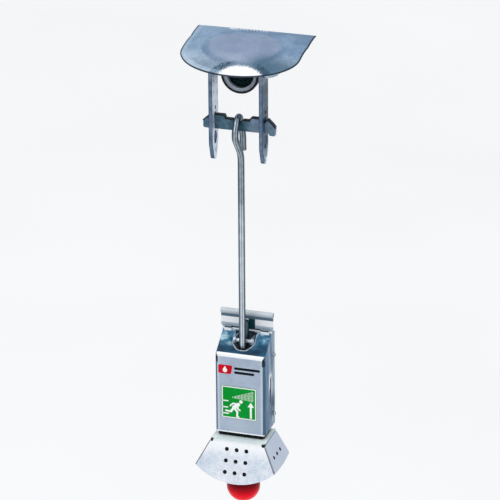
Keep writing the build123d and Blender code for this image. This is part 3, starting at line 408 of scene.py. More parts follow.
def housing_steel():
    """Satin lavender-grey sheet with painted light: teal roof, side glint, bright fold, banded fin, dark and
    pale strips at the front's edges, shaded sides and crease, and dark corners, slot and slits.
    """
    made, tree, shader, colour = sheet_metal(
        "housing_steel", ((0.40, 0.48, 0.58), (0.45, 0.53, 0.64), (0.50, 0.58, 0.68)),
        0.25, 0.42, (2.0, 20.0, 20.0), 36.0, edge_wear_and_sheen=0.0, gloss=0.15)
    x, y, z = axes(tree)
    facing = axes(tree, "Normal")
    width = maths(tree, "ABSOLUTE", x)
    half = shell_high.x
    # Painted shade and highlight: a dark strip and a pale band at each side edge of the front.
    fore_edge = rise(tree, y, shell_low.y + 0.004, shell_low.y + 0.002)
    colour = tint(tree, colour, (0.035, 0.10, 0.16), band(tree, width, half - 0.0030, half, 0.0006),
                  fore_edge, 0.9)
    colour = tint(tree, colour, (0.72, 0.78, 0.84), band(tree, width, half - 0.0062, half - 0.0042, 0.001),
                  fore_edge, 0.4)
    # Painted light on the sides: darker towards the front, with a painted glint and a painted dark streak
    # further back.
    turned = maths(tree, "ABSOLUTE", facing[0])
    side = rise(tree, turned, 0.55, 0.9)
    streaks = noise(tree, 26.0, stretch=(1, 2.6, 0.6), detail=6.0, rough=0.6)
    near = ramp(tree, streaks, [(0.38, (0.04, 0.11, 0.19)), (0.52, (0.09, 0.19, 0.32)),
                                (0.66, (0.20, 0.32, 0.46))])
    far = ramp(tree, streaks, [(0.36, (0.05, 0.12, 0.20)), (0.48, (0.18, 0.27, 0.37)),
                               (0.62, (0.46, 0.54, 0.62))])
    depth = rise(tree, y, shell_low.y + 0.018, shell_low.y + 0.030)
    colour = tint(tree, colour, mixed(tree, depth, near, far), side, 0.95)
    rear = rise(tree, y, shell_low.y + 0.026, shell_low.y + 0.036)
    glint = times(tree, band(tree, z, -0.507, -0.486, 0.014),
                  band(tree, y, shell_low.y + 0.026, shell_low.y + 0.033, 0.007))
    colour = tint(tree, colour, (0.90, 0.94, 0.97), glint, side, rise(tree, streaks, 0.42, 0.56))
    shade = times(tree, band(tree, z, -0.548, -0.526, 0.014), rear)
    colour = tint(tree, colour, (0.01, 0.06, 0.12), shade, side, rise(tree, streaks, 0.60, 0.48))
    # Painted shade in the bend from the sides to the front.
    crease = band(tree, y, shell_low.y + 0.0018, shell_low.y + 0.0034, 0.0006)
    colour = tint(tree, colour, (0.03, 0.09, 0.15), crease, side, 0.85)
    # Painted reflection on the roof: dark teal at the front, paler with white patches behind.
    roof = times(tree, rise(tree, facing[2], 0.3, 0.7), rise(tree, z, -0.4404, -0.4394))
    blots = noise(tree, 55.0, stretch=(1, 1.8, 1), detail=5.0, place=(5, 2, 0))
    fore = ramp(tree, blots, [(0.40, (0.0, 0.025, 0.060)), (0.62, (0.006, 0.085, 0.16))])
    aft = ramp(tree, blots, [(0.36, (0.005, 0.08, 0.15)), (0.5, (0.06, 0.21, 0.34)),
                             (0.62, (0.46, 0.64, 0.74))])
    colour = tint(tree, colour, mixed(tree, rise(tree, y, -0.091, -0.080), fore, aft), roof, 0.97)
    # Painted highlight on the fold from the front to the roof.
    fold = times(tree, band(tree, z, -0.4452, -0.4400, 0.0006), rise(tree, y, -0.092, -0.096))
    colour = tint(tree, colour, (0.96, 0.97, 0.99), fold, rise(tree, width, 0.0375, 0.036))
    # Painted shade in the two top corners of the front.
    bite = times(tree, band(tree, z, -0.4550, -0.4470, 0.0012), rise(tree, width, 0.0335, 0.0352))
    colour = tint(tree, colour, (0.006, 0.025, 0.045), bite, fore_edge, 0.95)
    # Painted light and shade on the fin: dark at its foot, a white band, and a dark shadow under the hem.
    fin = rise(tree, z, RIDGE_Z + 0.003, RIDGE_Z + 0.004)
    stripes = ramp(tree, maths(tree, "DIVIDE", maths(tree, "SUBTRACT", z, RIDGE_Z), rear_high.z - RIDGE_Z), [
        (0.0, (0.05, 0.10, 0.14)), (0.14, (0.30, 0.38, 0.46)), (0.30, (0.45, 0.51, 0.58)),
        (0.34, (0.95, 0.96, 0.97)),
        (0.59, (0.95, 0.96, 0.97)), (0.62, (0.04, 0.09, 0.14)), (0.72, (0.08, 0.15, 0.21)),
        (0.77, (0.40, 0.46, 0.50)),
        (1.0, (0.66, 0.71, 0.74))])
    colour = tint(tree, colour, stripes, fin, 0.9)
    # Painted shade in the opening of the fin behind the rod.
    slot = times(tree, band(tree, x, 0.003, 0.012, 0.0012),
                 band(tree, z, RIDGE_Z - 0.002, RIDGE_Z + 0.020, 0.002))
    colour = tint(tree, colour, (0.004, 0.045, 0.06), slot, rise(tree, y, -0.070, -0.067),
                  rise(tree, y, -0.055, -0.058))
    # Painted highlight on the tabs at the fin's foot.
    plane = maths(tree, "MULTIPLY_ADD", maths(tree, "SUBTRACT", y, shell_low.y), ROOF_SLOPE,
                  third=ROOF_FRONT_Z)
    tab = times(tree, rise(tree, maths(tree, "SUBTRACT", z, plane), 0.0004, 0.0008),
                rise(tree, z, RIDGE_Z + 0.004, RIDGE_Z + 0.003))
    tab = times(tree, tab, times(tree, rise(tree, z, -0.426, -0.4255), rise(tree, y, -0.06, -0.063)))
    colour = tint(tree, colour, (0.94, 0.96, 0.98), tab, 0.95)
    # Painted shade in the slits at the fin's foot.
    slit = times(tree, band(tree, z, RIDGE_Z + 0.0035, RIDGE_Z + 0.0050, 0.0008),
                 band(tree, width, 0.013, 0.034, 0.001))
    colour = tint(tree, colour, (0.004, 0.012, 0.018), slit, rise(tree, y, -0.055, -0.058), 0.95)
    tree.links.new(colour, shader.inputs["Base Color"])
    return made


def skirt_zinc():
    """Pale hot-dip zinc: faint spangle, bluish and pinkish specks; painted shade on the right side, in the
    crease and on faces that look down, and a painted light upper front.
    """
    made, tree, shader, colour = sheet_metal(
        "skirt_zinc", ((0.72, 0.80, 0.88), (0.84, 0.88, 0.93), (0.93, 0.95, 0.97)),
        0.05, 0.5, (2.0, 2.0, 2.0), 24.0, edge_wear_and_sheen=0.0)
    spangle = cells(tree, 260.0, output="Color")
    colour = mixed(tree, 0.07, colour, spangle, "OVERLAY")
    specks = noise(tree, 420.0, detail=4.0, rough=0.7)
    colour = mixed(tree, 0.6, colour, ramp(tree, specks, [
        (0.36, (0.58, 0.68, 0.80)), (0.46, (0.90, 0.92, 0.95)), (0.66, (1.0, 0.99, 1.0))]), "MULTIPLY")
    x, _, z = axes(tree)
    facing = axes(tree, "Normal")
    # Painted shade on the right side.
    side = rise(tree, facing[0], 0.5, 0.85)
    colour = tint(tree, colour, (0.50, 0.57, 0.69), side, 0.8)
    # Painted shade in the crease under the ledge.
    crease = band(tree, z, skirt_high.z - 0.0022, skirt_high.z - 0.0008, 0.0005)
    colour = tint(tree, colour, (0.10, 0.20, 0.24), crease, 0.7)
    # Painted light: the upper front turned white.
    colour = tint(tree, colour, (1.0, 1.0, 1.0), rise(tree, z, skirt_high.z - 0.026, skirt_high.z - 0.006),
                  rise(tree, facing[1], -0.5, -0.8), 0.75)
    spread = times(tree, maths(tree, "SUBTRACT", skirt_high.z, z), SKIRT_FLARE_SIDE / SKIRT_DROP)
    inset = maths(tree, "SUBTRACT", maths(tree, "SUBTRACT", maths(tree, "ABSOLUTE", x), spread),
                  SKIRT_HALF)
    seam = times(tree, rise(tree, inset, -0.0024, -0.0012), rise(tree, facing[1], -0.5, -0.8))
    colour = tint(tree, colour, (0.008, 0.016, 0.024), seam, 0.95)
    top = rise(tree, facing[2], 0.85, 0.97)
    colour = tint(tree, colour, (0.80, 0.91, 0.88), top, 0.7)
    # Painted shade on faces that look down.
    inside = rise(tree, facing[2], -0.2, -0.35)
    colour = tint(tree, colour, (0.30, 0.35, 0.40), inside, 0.6)
    tree.links.new(colour, shader.inputs["Base Color"])
    return made


def coat(name, colour, second, roughness, scale=220.0, sockets=(), texture=0.25):
    """Paint, rubber or moulded plastic: two close tones, an uneven gloss and a fine texture."""
    made, tree, shader = new_material(name, 0.0, roughness, {"Specular IOR Level": 0.2, **dict(sockets)})
    cloud = noise(tree, 35.0, detail=5.0)
    grain = noise(tree, scale * 8, detail=3.0, rough=0.7)
    tone = ramp(tree, cloud, [(0.35, colour), (0.65, second)])
    edge = tuple(min(1, c * 1.4 + 0.01) for c in second)
    worn = times(tree, edge_line(tree), noise(tree, 180.0, detail=3.0))
    tree.links.new(tint(tree, tone, edge, worn), shader.inputs["Base Color"])
    rough = maths(tree, "ADD", times(tree, cloud, 0.16), roughness - 0.08, clamp=True)
    tree.links.new(rough, shader.inputs["Roughness"])
    bumped(tree, shader, [(grain, texture, 0.0001)])
    return made


def strainer():
    """Dark green plate behind the ring, wet-looking and pitted."""
    made, tree, shader = new_material("strainer", 0.0, 0.35, {"Specular IOR Level": 0.04})
    cloud = noise(tree, 60.0, detail=4.0)
    tone = ramp(tree, cloud, [(0.35, (0.001, 0.006, 0.008)), (0.65, (0.004, 0.018, 0.020))])
    tree.links.new(tone, shader.inputs["Base Color"])
    bumped(tree, shader, [(noise(tree, 900.0), 0.2, 0.0001)])
    return made


def board_green():
    """Circuit board: solder mask with copper tracks under it."""
    made, tree, shader = new_material("board_green", 0.0, 0.35, {"Coat Weight": 0.4})
    tracks = cells(tree, 240.0, feature="DISTANCE_TO_EDGE")
    tone = ramp(tree, tracks, [(0.03, (0.05, 0.30, 0.12)), (0.08, (0.012, 0.12, 0.05))])
    tree.links.new(mixed(tree, 0.3, tone, noise(tree, 90.0), "OVERLAY"), shader.inputs["Base Color"])
    bumped(tree, shader, [(tracks, 0.3, 0.0001)])
    return made


def red_ball():
    """Glossy moulded red with the skirt's shadow painted on its upper half, faint flow marks and small
    scuffs.
    """
    made, tree, shader = new_material("red_ball", 0.0, 0.24, {
        "Coat Weight": 0.06, "Coat Roughness": 0.05, "Specular IOR Level": 0.08})
    flow = noise(tree, 30.0, stretch=(1, 1, 2.5), detail=5.0)
    tone = ramp(tree, flow, [(0.3, (0.84, 0.0, 0.012)), (0.7, (1.0, 0.0, 0.020))])
    z = axes(tree)[2]
    middle = (ball_low.z + ball_high.z) / 2
    # Painted shadow of the skirt on the upper half.
    tone = tint(tree, tone, (0.10, 0.0, 0.004), rise(tree, z, middle - 0.012, middle + 0.010), 0.9)
    tree.links.new(tone, shader.inputs["Base Color"])
    scuffs = noise(tree, 300.0, stretch=(1, 1, 6), detail=4.0, rough=0.75)
    rough = maths(tree, "ADD", rise(tree, scuffs, 0.6, 0.8), 0.22, clamp=True)
    tree.links.new(times(tree, rough, 0.9), shader.inputs["Roughness"])
    bumped(tree, shader, [(flow, 0.12, 0.0006), (scuffs, 0.05, 0.0001)])
    return made


def film(name, colour, second):
    """Printed film: nearly flat colour with a fine orange peel and a slight gloss."""
    return coat(name, colour, second, 0.38, 120.0, {"Specular IOR Level": 0.06}, 0.12)


ALONG_X = (2.0, 24.0, 24.0)
ALONG_Y = (24.0, 2.0, 24.0)
ALONG_Z = (24.0, 24.0, 2.0)
materials = {
    "hood_steel": hood_steel(),
    "link_steel": link_steel(),
    "yoke_steel": yoke_steel(),
    "bright_steel": bright_steel(),
    "housing_steel": housing_steel(),
    "skirt_zinc": skirt_zinc(),
    "zinc_steel": plain_metal("zinc_steel", ((0.20, 0.30, 0.38), (0.32, 0.42, 0.50), (0.50, 0.58, 0.64)),
                              0.6, 0.36, ALONG_Z),
    "fastener_steel": plain_metal("fastener_steel",
                                  ((0.24, 0.29, 0.35), (0.34, 0.39, 0.45), (0.48, 0.53, 0.58)),
                                  0.8, 0.32, ALONG_Y, patch=200.0),
    "chromed_brass": plain_metal("chromed_brass",
                                 ((0.50, 0.53, 0.56), (0.62, 0.65, 0.68), (0.74, 0.76, 0.78)),
                                 1.0, 0.16, ALONG_Y),
    "black_coat": coat("black_coat", (0.002, 0.003, 0.004), (0.005, 0.007, 0.009), 0.38),
    "grey_ring": plain_metal("grey_ring", ((0.24, 0.27, 0.33), (0.31, 0.34, 0.40), (0.38, 0.41, 0.48)),
                             0.2, 0.5, ALONG_Y),
    "strainer": strainer(),
    "seat_plastic": coat("seat_plastic", (0.72, 0.71, 0.66), (0.80, 0.79, 0.75), 0.5),
    "black_rubber": coat("black_rubber", (0.002, 0.004, 0.004), (0.005, 0.007, 0.007), 0.8, texture=0.5),
    "black_plastic": coat("black_plastic", (0.004, 0.004, 0.005), (0.009, 0.009, 0.010), 0.5),
    "board_green": board_green(),
    "battery_case": coat("battery_case", (0.05, 0.055, 0.065), (0.09, 0.095, 0.11), 0.35),
    "sign_green": film("sign_green", (0.0, 0.27, 0.024), (0.002, 0.33, 0.04)),
    "red_ball": red_ball(),
}
sign_white = film("sign_white", (0.90, 0.95, 0.90), (0.96, 0.98, 0.96))
tag_red = film("tag_red", (0.56, 0.002, 0.012), (0.64, 0.004, 0.02))
tag_black = film("tag_black", (0.004, 0.006, 0.010), (0.010, 0.012, 0.018))
lip_steel = plain_metal("lip_steel", ((0.01, 0.06, 0.11), (0.05, 0.15, 0.24), (0.45, 0.60, 0.70)), 0.3, 0.4,
                        ALONG_X, patch=90.0)
# Pale film: the painted highlight on the base hem, and the hood's pale dabs.
pale_film = film("pale_film", (0.86, 0.92, 0.96), (0.95, 0.97, 0.98))

for name, thing in nodes.items():
    thing.data.materials.clear()
    thing.data.materials.append(materials[slot_of[name]])


# =========================================================================================
# Mesh helpers
# =========================================================================================
def new_piece(name, bm, body, slot, replaced=(), material=None, crease=32.0):
    """Turn a bmesh into a piece that rides on a body and stands for the CAD nodes named."""
    for face in bm.faces:
        face.smooth = True
    for edge in bm.edges:
        edge.smooth = not (edge.is_manifold and edge.calc_face_angle() > radians(crease))
    mesh = bpy.data.meshes.new(name)
    bm.to_mesh(mesh)
    bm.free()
    mesh.materials.append(material or materials[slot])
    piece = bpy.data.objects.new(name, mesh)
    bpy.context.scene.collection.objects.link(piece)
    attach(piece, body)
    if replaced:
        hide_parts(*replaced)
    return piece


def round_edges(bm, edges, width, segments=2):
    """Bevel of a real width on the edges given."""
    bmesh.ops.bevel(bm, geom=edges, offset=width, offset_type="OFFSET", segments=segments, profile=0.5,
                    affect="EDGES", material=-1, clamp_overlap=True)


def sharp_edges(bm, angle=30.0):
    """Edges where two faces meet at more than that angle."""
    return [e for e in bm.edges if e.is_manifold and e.calc_face_angle() > radians(angle)]


def dressed(node, width, name):
    """Copy of a CAD node with its flats joined and its sharp edges rounded."""
    bm = bmesh.new()
    bm.from_mesh(nodes[node].data)
    bmesh.ops.remove_doubles(bm, verts=bm.verts, dist=WELD)
    bmesh.ops.dissolve_limit(bm, angle_limit=FLAT_TURN, verts=bm.verts, edges=bm.edges)
    round_edges(bm, sharp_edges(bm), width)
    piece = new_piece(name, bm, body_of[node], slot_of[node], (node,))
    flats = piece.modifiers.new("flats", "WEIGHTED_NORMAL")
    flats.keep_sharp = True


def spun(bm, profile, steps=96):
    """Turn a closed (along Y, radius) profile round the water way's axis."""
    corners = [bm.verts.new((0, y, r)) for y, r in profile]
    edges = [bm.edges.new((corners[i - 1], corners[i])) for i in range(len(corners))]
    bmesh.ops.spin(bm, geom=corners + edges, cent=(0, 0, 0), axis=(0, 1, 0), angle=2 * pi, steps=steps,
                   use_merge=True)
    bmesh.ops.remove_doubles(bm, verts=bm.verts, dist=WELD)
    bmesh.ops.recalc_face_normals(bm, faces=bm.faces)


def bent_wire(bm, points, radius):
    """Round wire along a smooth line through control points."""
    curve = bpy.data.curves.new("line", "CURVE")
    curve.dimensions = "3D"
    line = curve.splines.new("NURBS")
    line.points.add(len(points) - 1)
    for point, place in zip(line.points, points):
        point.co = (*place, 1)
    line.order_u = 3
    line.use_endpoint_u = True
    curve.bevel_depth = radius
    curve.bevel_resolution = 5
    curve.resolution_u = 10
    curve.use_fill_caps = True
    holder = bpy.data.objects.new("line", curve)
    mesh = bpy.data.meshes.new_from_object(holder)
    bm.from_mesh(mesh)
    bpy.data.objects.remove(holder)
    bmesh.ops.remove_doubles(bm, verts=bm.verts, dist=WELD)
    bmesh.ops.recalc_face_normals(bm, faces=bm.faces)


# =========================================================================================
# Hood
# =========================================================================================
HOOD_NOSE = 56 * MM
HOOD_BACK_Z = 39.8 * MM
HOOD_RISE = 35.1 * MM
HOOD_FALL = 59 * MM
HOOD_SIDE_DROP = 10.3 * MM
HOOD_DROP_RUN = 40 * MM
HOOD_SHEET = 1.5 * MM
DISH_DEPTH = 0.9 * MM
DISH_HALF = (58 * MM, 47 * MM)
DISH_Y = -74 * MM


def hood_height(x, run):
    """Upper surface of the hood: an arch that falls to the front, with a shallow dish in it."""
    depth = hood_high.y - hood_low.y
    share = run / depth
    crown = HOOD_BACK_Z + HOOD_RISE * share - HOOD_FALL * share ** 2
    sag = HOOD_SIDE_DROP * min(1, max(0.04, run / HOOD_DROP_RUN))
    dish = hypot(x / DISH_HALF[0], (hood_high.y - run - DISH_Y) / DISH_HALF[1])
    pressed = DISH_DEPTH * 0.5 * (1 + cos(pi * min(1, max(0, (dish - 0.75) / 0.35))))
    return crown - sag * (x / (hood_high.x + 3 * MM)) ** 2 - pressed


def hood_sheet():
    """Sheet with a straight back edge and a rounded nose."""
    bm = bmesh.new()
    bmesh.ops.create_grid(bm, x_segments=72, y_segments=48, size=0.5)
    depth = hood_high.y - hood_low.y
    for vert in bm.verts:
        swing = vert.co.x * pi
        x = hood_high.x * sin(swing)
        run = (vert.co.y + 0.5) * (depth - HOOD_NOSE + HOOD_NOSE * cos(swing))
        vert.co = (x, hood_high.y - run, hood_height(x, run))
    bmesh.ops.recalc_face_normals(bm, faces=bm.faces)
    if sum(face.normal.z for face in bm.faces) < 0:
        bmesh.ops.reverse_faces(bm, faces=bm.faces)
    distance = bm.verts.layers.float.new(RIM_DISTANCE)
    edge = [v.co.copy() for v in bm.verts if v.is_boundary and v.co.y < hood_high.y - 0.5 * MM]
    for vert in bm.verts:
        vert[distance] = min((vert.co - place).length for place in edge)
    piece = new_piece("hood_sheet", bm, "fixed", "hood_steel", ("hood",))
    wall = piece.modifiers.new("wall", "SOLIDIFY")
    wall.thickness = HOOD_SHEET
    wall.offset = -1
    rim = piece.modifiers.new("rim", "BEVEL")
    rim.width = 0.45 * MM
    rim.segments = 3
    rim.limit_method = "ANGLE"
    rim.angle_limit = radians(60)


def hood_dots():
    """Row of small pale dabs near the hood's back edge, longer at its left end."""
    bm = bmesh.new()
    for index in range(12):
        x = (-37 + 5.0 * index) * MM
        run = (8.4 + 1.4 * (index % 3)) * MM
        place = Matrix.Translation((x, hood_high.y - run, hood_height(x, run)))
        made = bmesh.ops.create_uvsphere(bm, u_segments=12, v_segments=8, radius=1.1 * MM)
        bmesh.ops.scale(bm, verts=made["verts"], vec=(2.6 if index < 2 else 1.2, 1.1, 0.5))
        bmesh.ops.transform(bm, verts=made["verts"], matrix=place)
    new_piece("hood_dots", bm, "fixed", "chromed_brass", material=pale_film)


# =========================================================================================
# Outlet
# =========================================================================================
def outlet():
    """Black outlet with a rolled lip, and the stepped grey ring inside it."""
    front, back = tube_low.y, tube_high.y
    outer = tube_high.z
    mouth = ring_high.z
    floor = front + 12 * MM
    bm = bmesh.new()
    spun(bm, [
        (front + 1.2 * MM, outer), (front + 3.2 * MM, outer), (front + 3.6 * MM, outer - 0.5 * MM),
        (front + 4.6 * MM, outer - 0.5 * MM), (front + 5.0 * MM, outer), (back - 3.0 * MM, outer),
        (back - 3.0 * MM, 20.95 * MM), (back, 20.95 * MM), (back, 11.5 * MM), (floor, 15.5 * MM),
        (floor, mouth), (front + 0.9 * MM, mouth), (front, mouth + 1.0 * MM), (front, outer - 1.2 * MM)])
    round_edges(bm, sharp_edges(bm, 40), 0.15 * MM)
    new_piece("outlet_shell", bm, "fixed", "black_coat", ("outlet_body",))

    near, far = ring_low.y, ring_high.y
    inner = 20.6 * MM
    bm = bmesh.new()
    spun(bm, [
        (near, inner + 1.5 * MM), (near, inner + 2.3 * MM), (near + 0.25 * MM, inner + 2.5 * MM),
        (near, inner + 2.7 * MM), (near, mouth - 0.4 * MM), (near + 0.4 * MM, mouth), (far, mouth),
        (far, inner), (near + 1.5 * MM, inner)])
    new_piece("outlet_bezel", bm, "fixed", "grey_ring", ("outlet_ring",), crease=20)


# =========================================================================================
# Housing: rolled lip and hem, and dark pieces that stand for shade
# =========================================================================================
def roof_point(x, y, above=0.0):
    """Point on the sloping roof."""
    return (x, y, ROOF_FRONT_Z + ROOF_SLOPE * (y - shell_low.y) + above)


def notch_lip():
    """Rolled edge of the cut-out that the rod passes through."""
    half, front, corner = NOTCH_HALF, NOTCH_FRONT_Y, NOTCH_CORNER
    soft = corner * 0.35
    route = [
        (-half, RIDGE_Y - 3 * MM), (-half, front + 1.4 * corner), (-half, front + corner * 0.7),
        (-half + soft, front + soft), (-half + corner * 0.7, front), (0, front - 0.2 * MM),
        (half - corner * 0.7, front), (half - soft, front + soft), (half, front + corner * 0.7),
        (half, front + 1.4 * corner), (half, RIDGE_Y - 3 * MM)]
    bm = bmesh.new()
    bent_wire(bm, [roof_point(x, y, 0.3 * MM) for x, y in route], 0.85 * MM)
    new_piece("notch_lip", bm, "housing", "zinc_steel", material=lip_steel)


def base_hem():
    """Folded hem along the foot of the front, turned up at its two corners, in a pale film that paints a
    highlight along it.
    """
    half = shell_high.x - 1.5 * MM
    z = shell_low.z + 0.9 * MM
    y = shell_low.y - 0.1 * MM
    bm = bmesh.new()
    bent_wire(bm, [(-half, y + 3.5 * MM, z), (-half, y + 1.0 * MM, z), (-half + 2.5 * MM, y, z),
                   (half - 2.5 * MM, y, z), (half, y + 1.0 * MM, z), (half, y + 3.5 * MM, z)], 0.9 * MM)
    new_piece("base_hem", bm, "housing", "skirt_zinc", material=pale_film)


def skirt_shade_sheet():
    """Black sheet behind the skirt's panels that stands for the shade inside, so that its holes and corner
    reliefs look dark.
    """
    top, low = skirt_high.z - 1.0 * MM, skirt_high.z - 0.6 * MM - SKIRT_DROP
    front, back = ROD_Y - SKIRT_FRONT, ROD_Y + SKIRT_BACK
    half = SKIRT_HALF
    in_front, in_side, in_back = 1.62 * MM, 1.72 * MM, 1.55 * MM
    bm = bmesh.new()
    upper = [bm.verts.new(corner) for corner in (
        (-half + in_side, front + in_front, top), (half - in_side, front + in_front, top),
        (half - in_side, back - in_back, top), (-half + in_side, back - in_back, top))]
    wide = half + SKIRT_FLARE_SIDE - in_side
    lower = [bm.verts.new(corner) for corner in (
        (-wide, front - SKIRT_FLARE_FRONT + in_front, low), (wide, front - SKIRT_FLARE_FRONT + in_front, low),
        (wide, back + SKIRT_FLARE_BACK - in_back, low), (-wide, back + SKIRT_FLARE_BACK - in_back, low))]
    for index in range(4):
        after = (index + 1) % 4
        bm.faces.new((upper[index], upper[after], lower[after], lower[index]))
    reach = 12.5 * MM
    lean = SKIRT_FLARE_FRONT / SKIRT_DROP * reach
    tongue = [bm.verts.new((x, lower[0].co.y - lean, low - reach)) for x in (0.42 * wide, -0.42 * wide)]
    bm.faces.new((lower[0], lower[1], *tongue))
    for flip in (-1, 1):
        corners = [bm.verts.new((flip * x, y, top - 0.6 * MM)) for x, y in (
            (half - 7.5 * MM, front + 2.2 * MM), (half - 2.2 * MM, front + 2.2 * MM),
            (half - 2.2 * MM, front + 7.5 * MM), (half - 7.5 * MM, front + 7.5 * MM))]
        bm.faces.new(corners)
    bmesh.ops.recalc_face_normals(bm, faces=bm.faces)
    bmesh.ops.solidify(bm, geom=bm.faces[:], thickness=0.2 * MM)
    bmesh.ops.recalc_face_normals(bm, faces=bm.faces)
    new_piece("skirt_shade_sheet", bm, "housing", "black_rubber")


# Round dark bar along the yoke's top edges, standing for shade.
SHADE_LINE_R = 0.9 * MM
SHADE_LINE_PLACE = Vector((0, 0.2, -0.5)) * MM     # from the plate's edge to the middle of the dark line
HOOK_CLEAR = 10.5 * MM   # the dark line is left off where the hook rides in the notch


def yoke_shade_line():
    """Painted shade along the yoke's top edges, made as a dark round bar."""
    source = bmesh.new()
    source.from_mesh(nodes["yoke"].data)
    bmesh.ops.remove_doubles(source, verts=source.verts, dist=WELD)
    bmesh.ops.dissolve_limit(source, angle_limit=FLAT_TURN, verts=source.verts, edges=source.edges)
    bm = bmesh.new()
    for edge in source.edges:
        if not edge.is_manifold or edge.calc_length() < 0.3 * MM:
            continue
        first, second = sorted((face.normal for face in edge.link_faces), key=lambda n: n.y)
        if first.y > -0.9 or second.z < 0.25:
            continue
        start, end = (vert.co for vert in edge.verts)
        if abs((start + end).x) / 2 < HOOK_CLEAR:
            continue
        turn = (end - start).to_track_quat("Z", "Y").to_matrix().to_4x4()
        place = Matrix.Translation((start + end) / 2 + SHADE_LINE_PLACE) @ turn
        bmesh.ops.create_cone(bm, cap_ends=True, segments=10, radius1=SHADE_LINE_R, radius2=SHADE_LINE_R,
                              depth=(end - start).length, matrix=place)
        for corner in (start, end):
            bmesh.ops.create_icosphere(bm, subdivisions=2, radius=SHADE_LINE_R,
                                       matrix=Matrix.Translation(corner + SHADE_LINE_PLACE))
    source.free()
    new_piece("yoke_shade_line", bm, body_of["yoke"], "yoke_steel", material=tag_black)


# =========================================================================================
# Sign and tag: flat shapes drawn in their own plane and laid on the housing's front
# =========================================================================================
FLAT_STEP = 0.02        # millimetres between crossing flat shapes


def stroke(bm, start, end, width, lift=0.0):
    """Rounded bar from start to end, lifted a little so that crossing bars don't share a face."""
    made = bmesh.ops.create_circle(bm, cap_ends=True, segments=20, radius=width / 2)["verts"]
    bmesh.ops.rotate(bm, verts=made, cent=(0, 0, 0), matrix=Matrix.Rotation(pi / 20, 3, "Z"))
    run = Vector((end[0] - start[0], end[1] - start[1], 0))
    bmesh.ops.translate(bm, verts=[v for v in made if v.co.x > 0], vec=(run.length, 0, 0))
    turn = Matrix.Rotation(atan2(run.y, run.x), 4, "Z")
    bmesh.ops.transform(bm, verts=made, matrix=Matrix.Translation((*start, lift)) @ turn)


def disc(bm, centre, radius, segments=24, lift=0.0):
    """Filled circle."""
    bmesh.ops.create_circle(bm, cap_ends=True, segments=segments, radius=radius,
                            matrix=Matrix.Translation((*centre, lift)))


def plate(bm, *corners):
    """Filled outline."""
    return bm.faces.new([bm.verts.new((*corner, 0)) for corner in corners])


def lay_flat(name, bm, origin, slot, material, thickness):
    """Thicken flat shapes and lay them on the front, with their lower left at origin."""
    bmesh.ops.scale(bm, verts=bm.verts, vec=(MM, MM, MM))
    for face in bm.faces:
        if face.normal.z < 0:
            face.normal_flip()
    bmesh.ops.solidify(bm, geom=bm.faces[:], thickness=thickness)
    onto = Matrix(((1, 0, 0, origin[0]), (0, 0, -1, origin[1]), (0, 1, 0, origin[2]), (0, 0, 0, 1)))
    bmesh.ops.transform(bm, verts=bm.verts, matrix=onto)
    bmesh.ops.recalc_face_normals(bm, faces=bm.faces)
    new_piece(name, bm, "housing", slot, material=material)


def sign_origin(above):
    """Lower left corner of the sign's face."""
    return (sign_low.x, sign_low.y - above * MM, sign_low.z)


def sign_border():
    """Pale frame round the green field."""
    wide = (sign_high.x - sign_low.x) / MM
    tall = (sign_high.z - sign_low.z) / MM
    edge = 1.5
    bm = bmesh.new()
    face = plate(bm, (0.3, 0.3), (wide - 0.3, 0.3), (wide - 0.3, tall - 0.3), (0.3, tall - 0.3))
    bmesh.ops.bevel(bm, geom=face.verts[:], offset=1.8, offset_type="OFFSET", segments=5, profile=0.5,
                    affect="VERTICES", material=-1)
    bmesh.ops.inset_region(bm, faces=bm.faces[:], thickness=edge, use_even_offset=True, use_boundary=True)
    inner = min(bm.faces, key=lambda f: abs(f.calc_center_median().x - wide / 2) + abs(
        f.calc_center_median().y - tall / 2))
    bmesh.ops.delete(bm, geom=[inner], context="FACES_ONLY")
    lay_flat("sign_border", bm, sign_origin(0.02), "sign_green", sign_white, 0.14 * MM)


def sign_figure():
    """Plain figure that hurries to the shower, with three lines behind it."""
    bm = bmesh.new()
    disc(bm, (30.4, 28.9), 2.8)
    limbs = (
        ((26.4, 24.0), (19.2, 18.7), 5.6),      # trunk
        ((25.8, 24.4), (17.8, 24.9), 2.5), ((17.8, 24.9), (13.6, 20.5), 2.3),   # arm behind
        ((26.6, 23.1), (24.6, 17.2), 2.5), ((24.6, 17.2), (28.8, 14.5), 2.3),   # arm in front
        ((19.4, 18.0), (24.6, 11.4), 3.5), ((24.6, 11.4), (24.2, 3.5), 3.0),    # leg in front
        ((24.2, 3.5), (26.6, 3.2), 2.3),
        ((18.6, 17.6), (14.6, 11.2), 3.5), ((14.6, 11.2), (6.8, 11.9), 2.8),    # leg behind
    )
    for layer, (start, end, width) in enumerate(limbs):
        stroke(bm, start, end, width, FLAT_STEP * layer)
    lay_flat("sign_figure", bm, sign_origin(0.02), "sign_green", sign_white, 0.10 * MM)
    bm = bmesh.new()
    for height, reach in ((28.2, 9.8), (17.6, 9.4), (7.2, 10.6)):
        stroke(bm, (1.8, height), (reach, height), 1.9)
    lay_flat("sign_lines", bm, sign_origin(0.02), "sign_green", sign_white, 0.12 * MM)


def sign_spray():
    """Fan of drops that widens to the right."""
    bm = bmesh.new()
    for column in range(15):
        x = 17.5 + 2.25 * column
        low, high = 34.6 - 0.20 * column, 35.2 + 0.86 * column
        count = 1 + column // 2
        for row in range(count + 1):
            disc(bm, (x, low + (high - low) * row / count), 0.66, 10)
    lay_flat("sign_spray", bm, sign_origin(0.02), "sign_green", sign_white, 0.10 * MM)


def sign_arrow():
    """Arrow that points up to the outlet."""
    bm = bmesh.new()
    plate(bm, (44.3, 3.0), (47.5, 3.0), (47.5, 21.6), (51.0, 21.6), (45.9, 29.6), (40.8, 21.6), (44.3, 21.6))
    lay_flat("sign_arrow", bm, sign_origin(0.02), "sign_green", sign_white, 0.12 * MM)


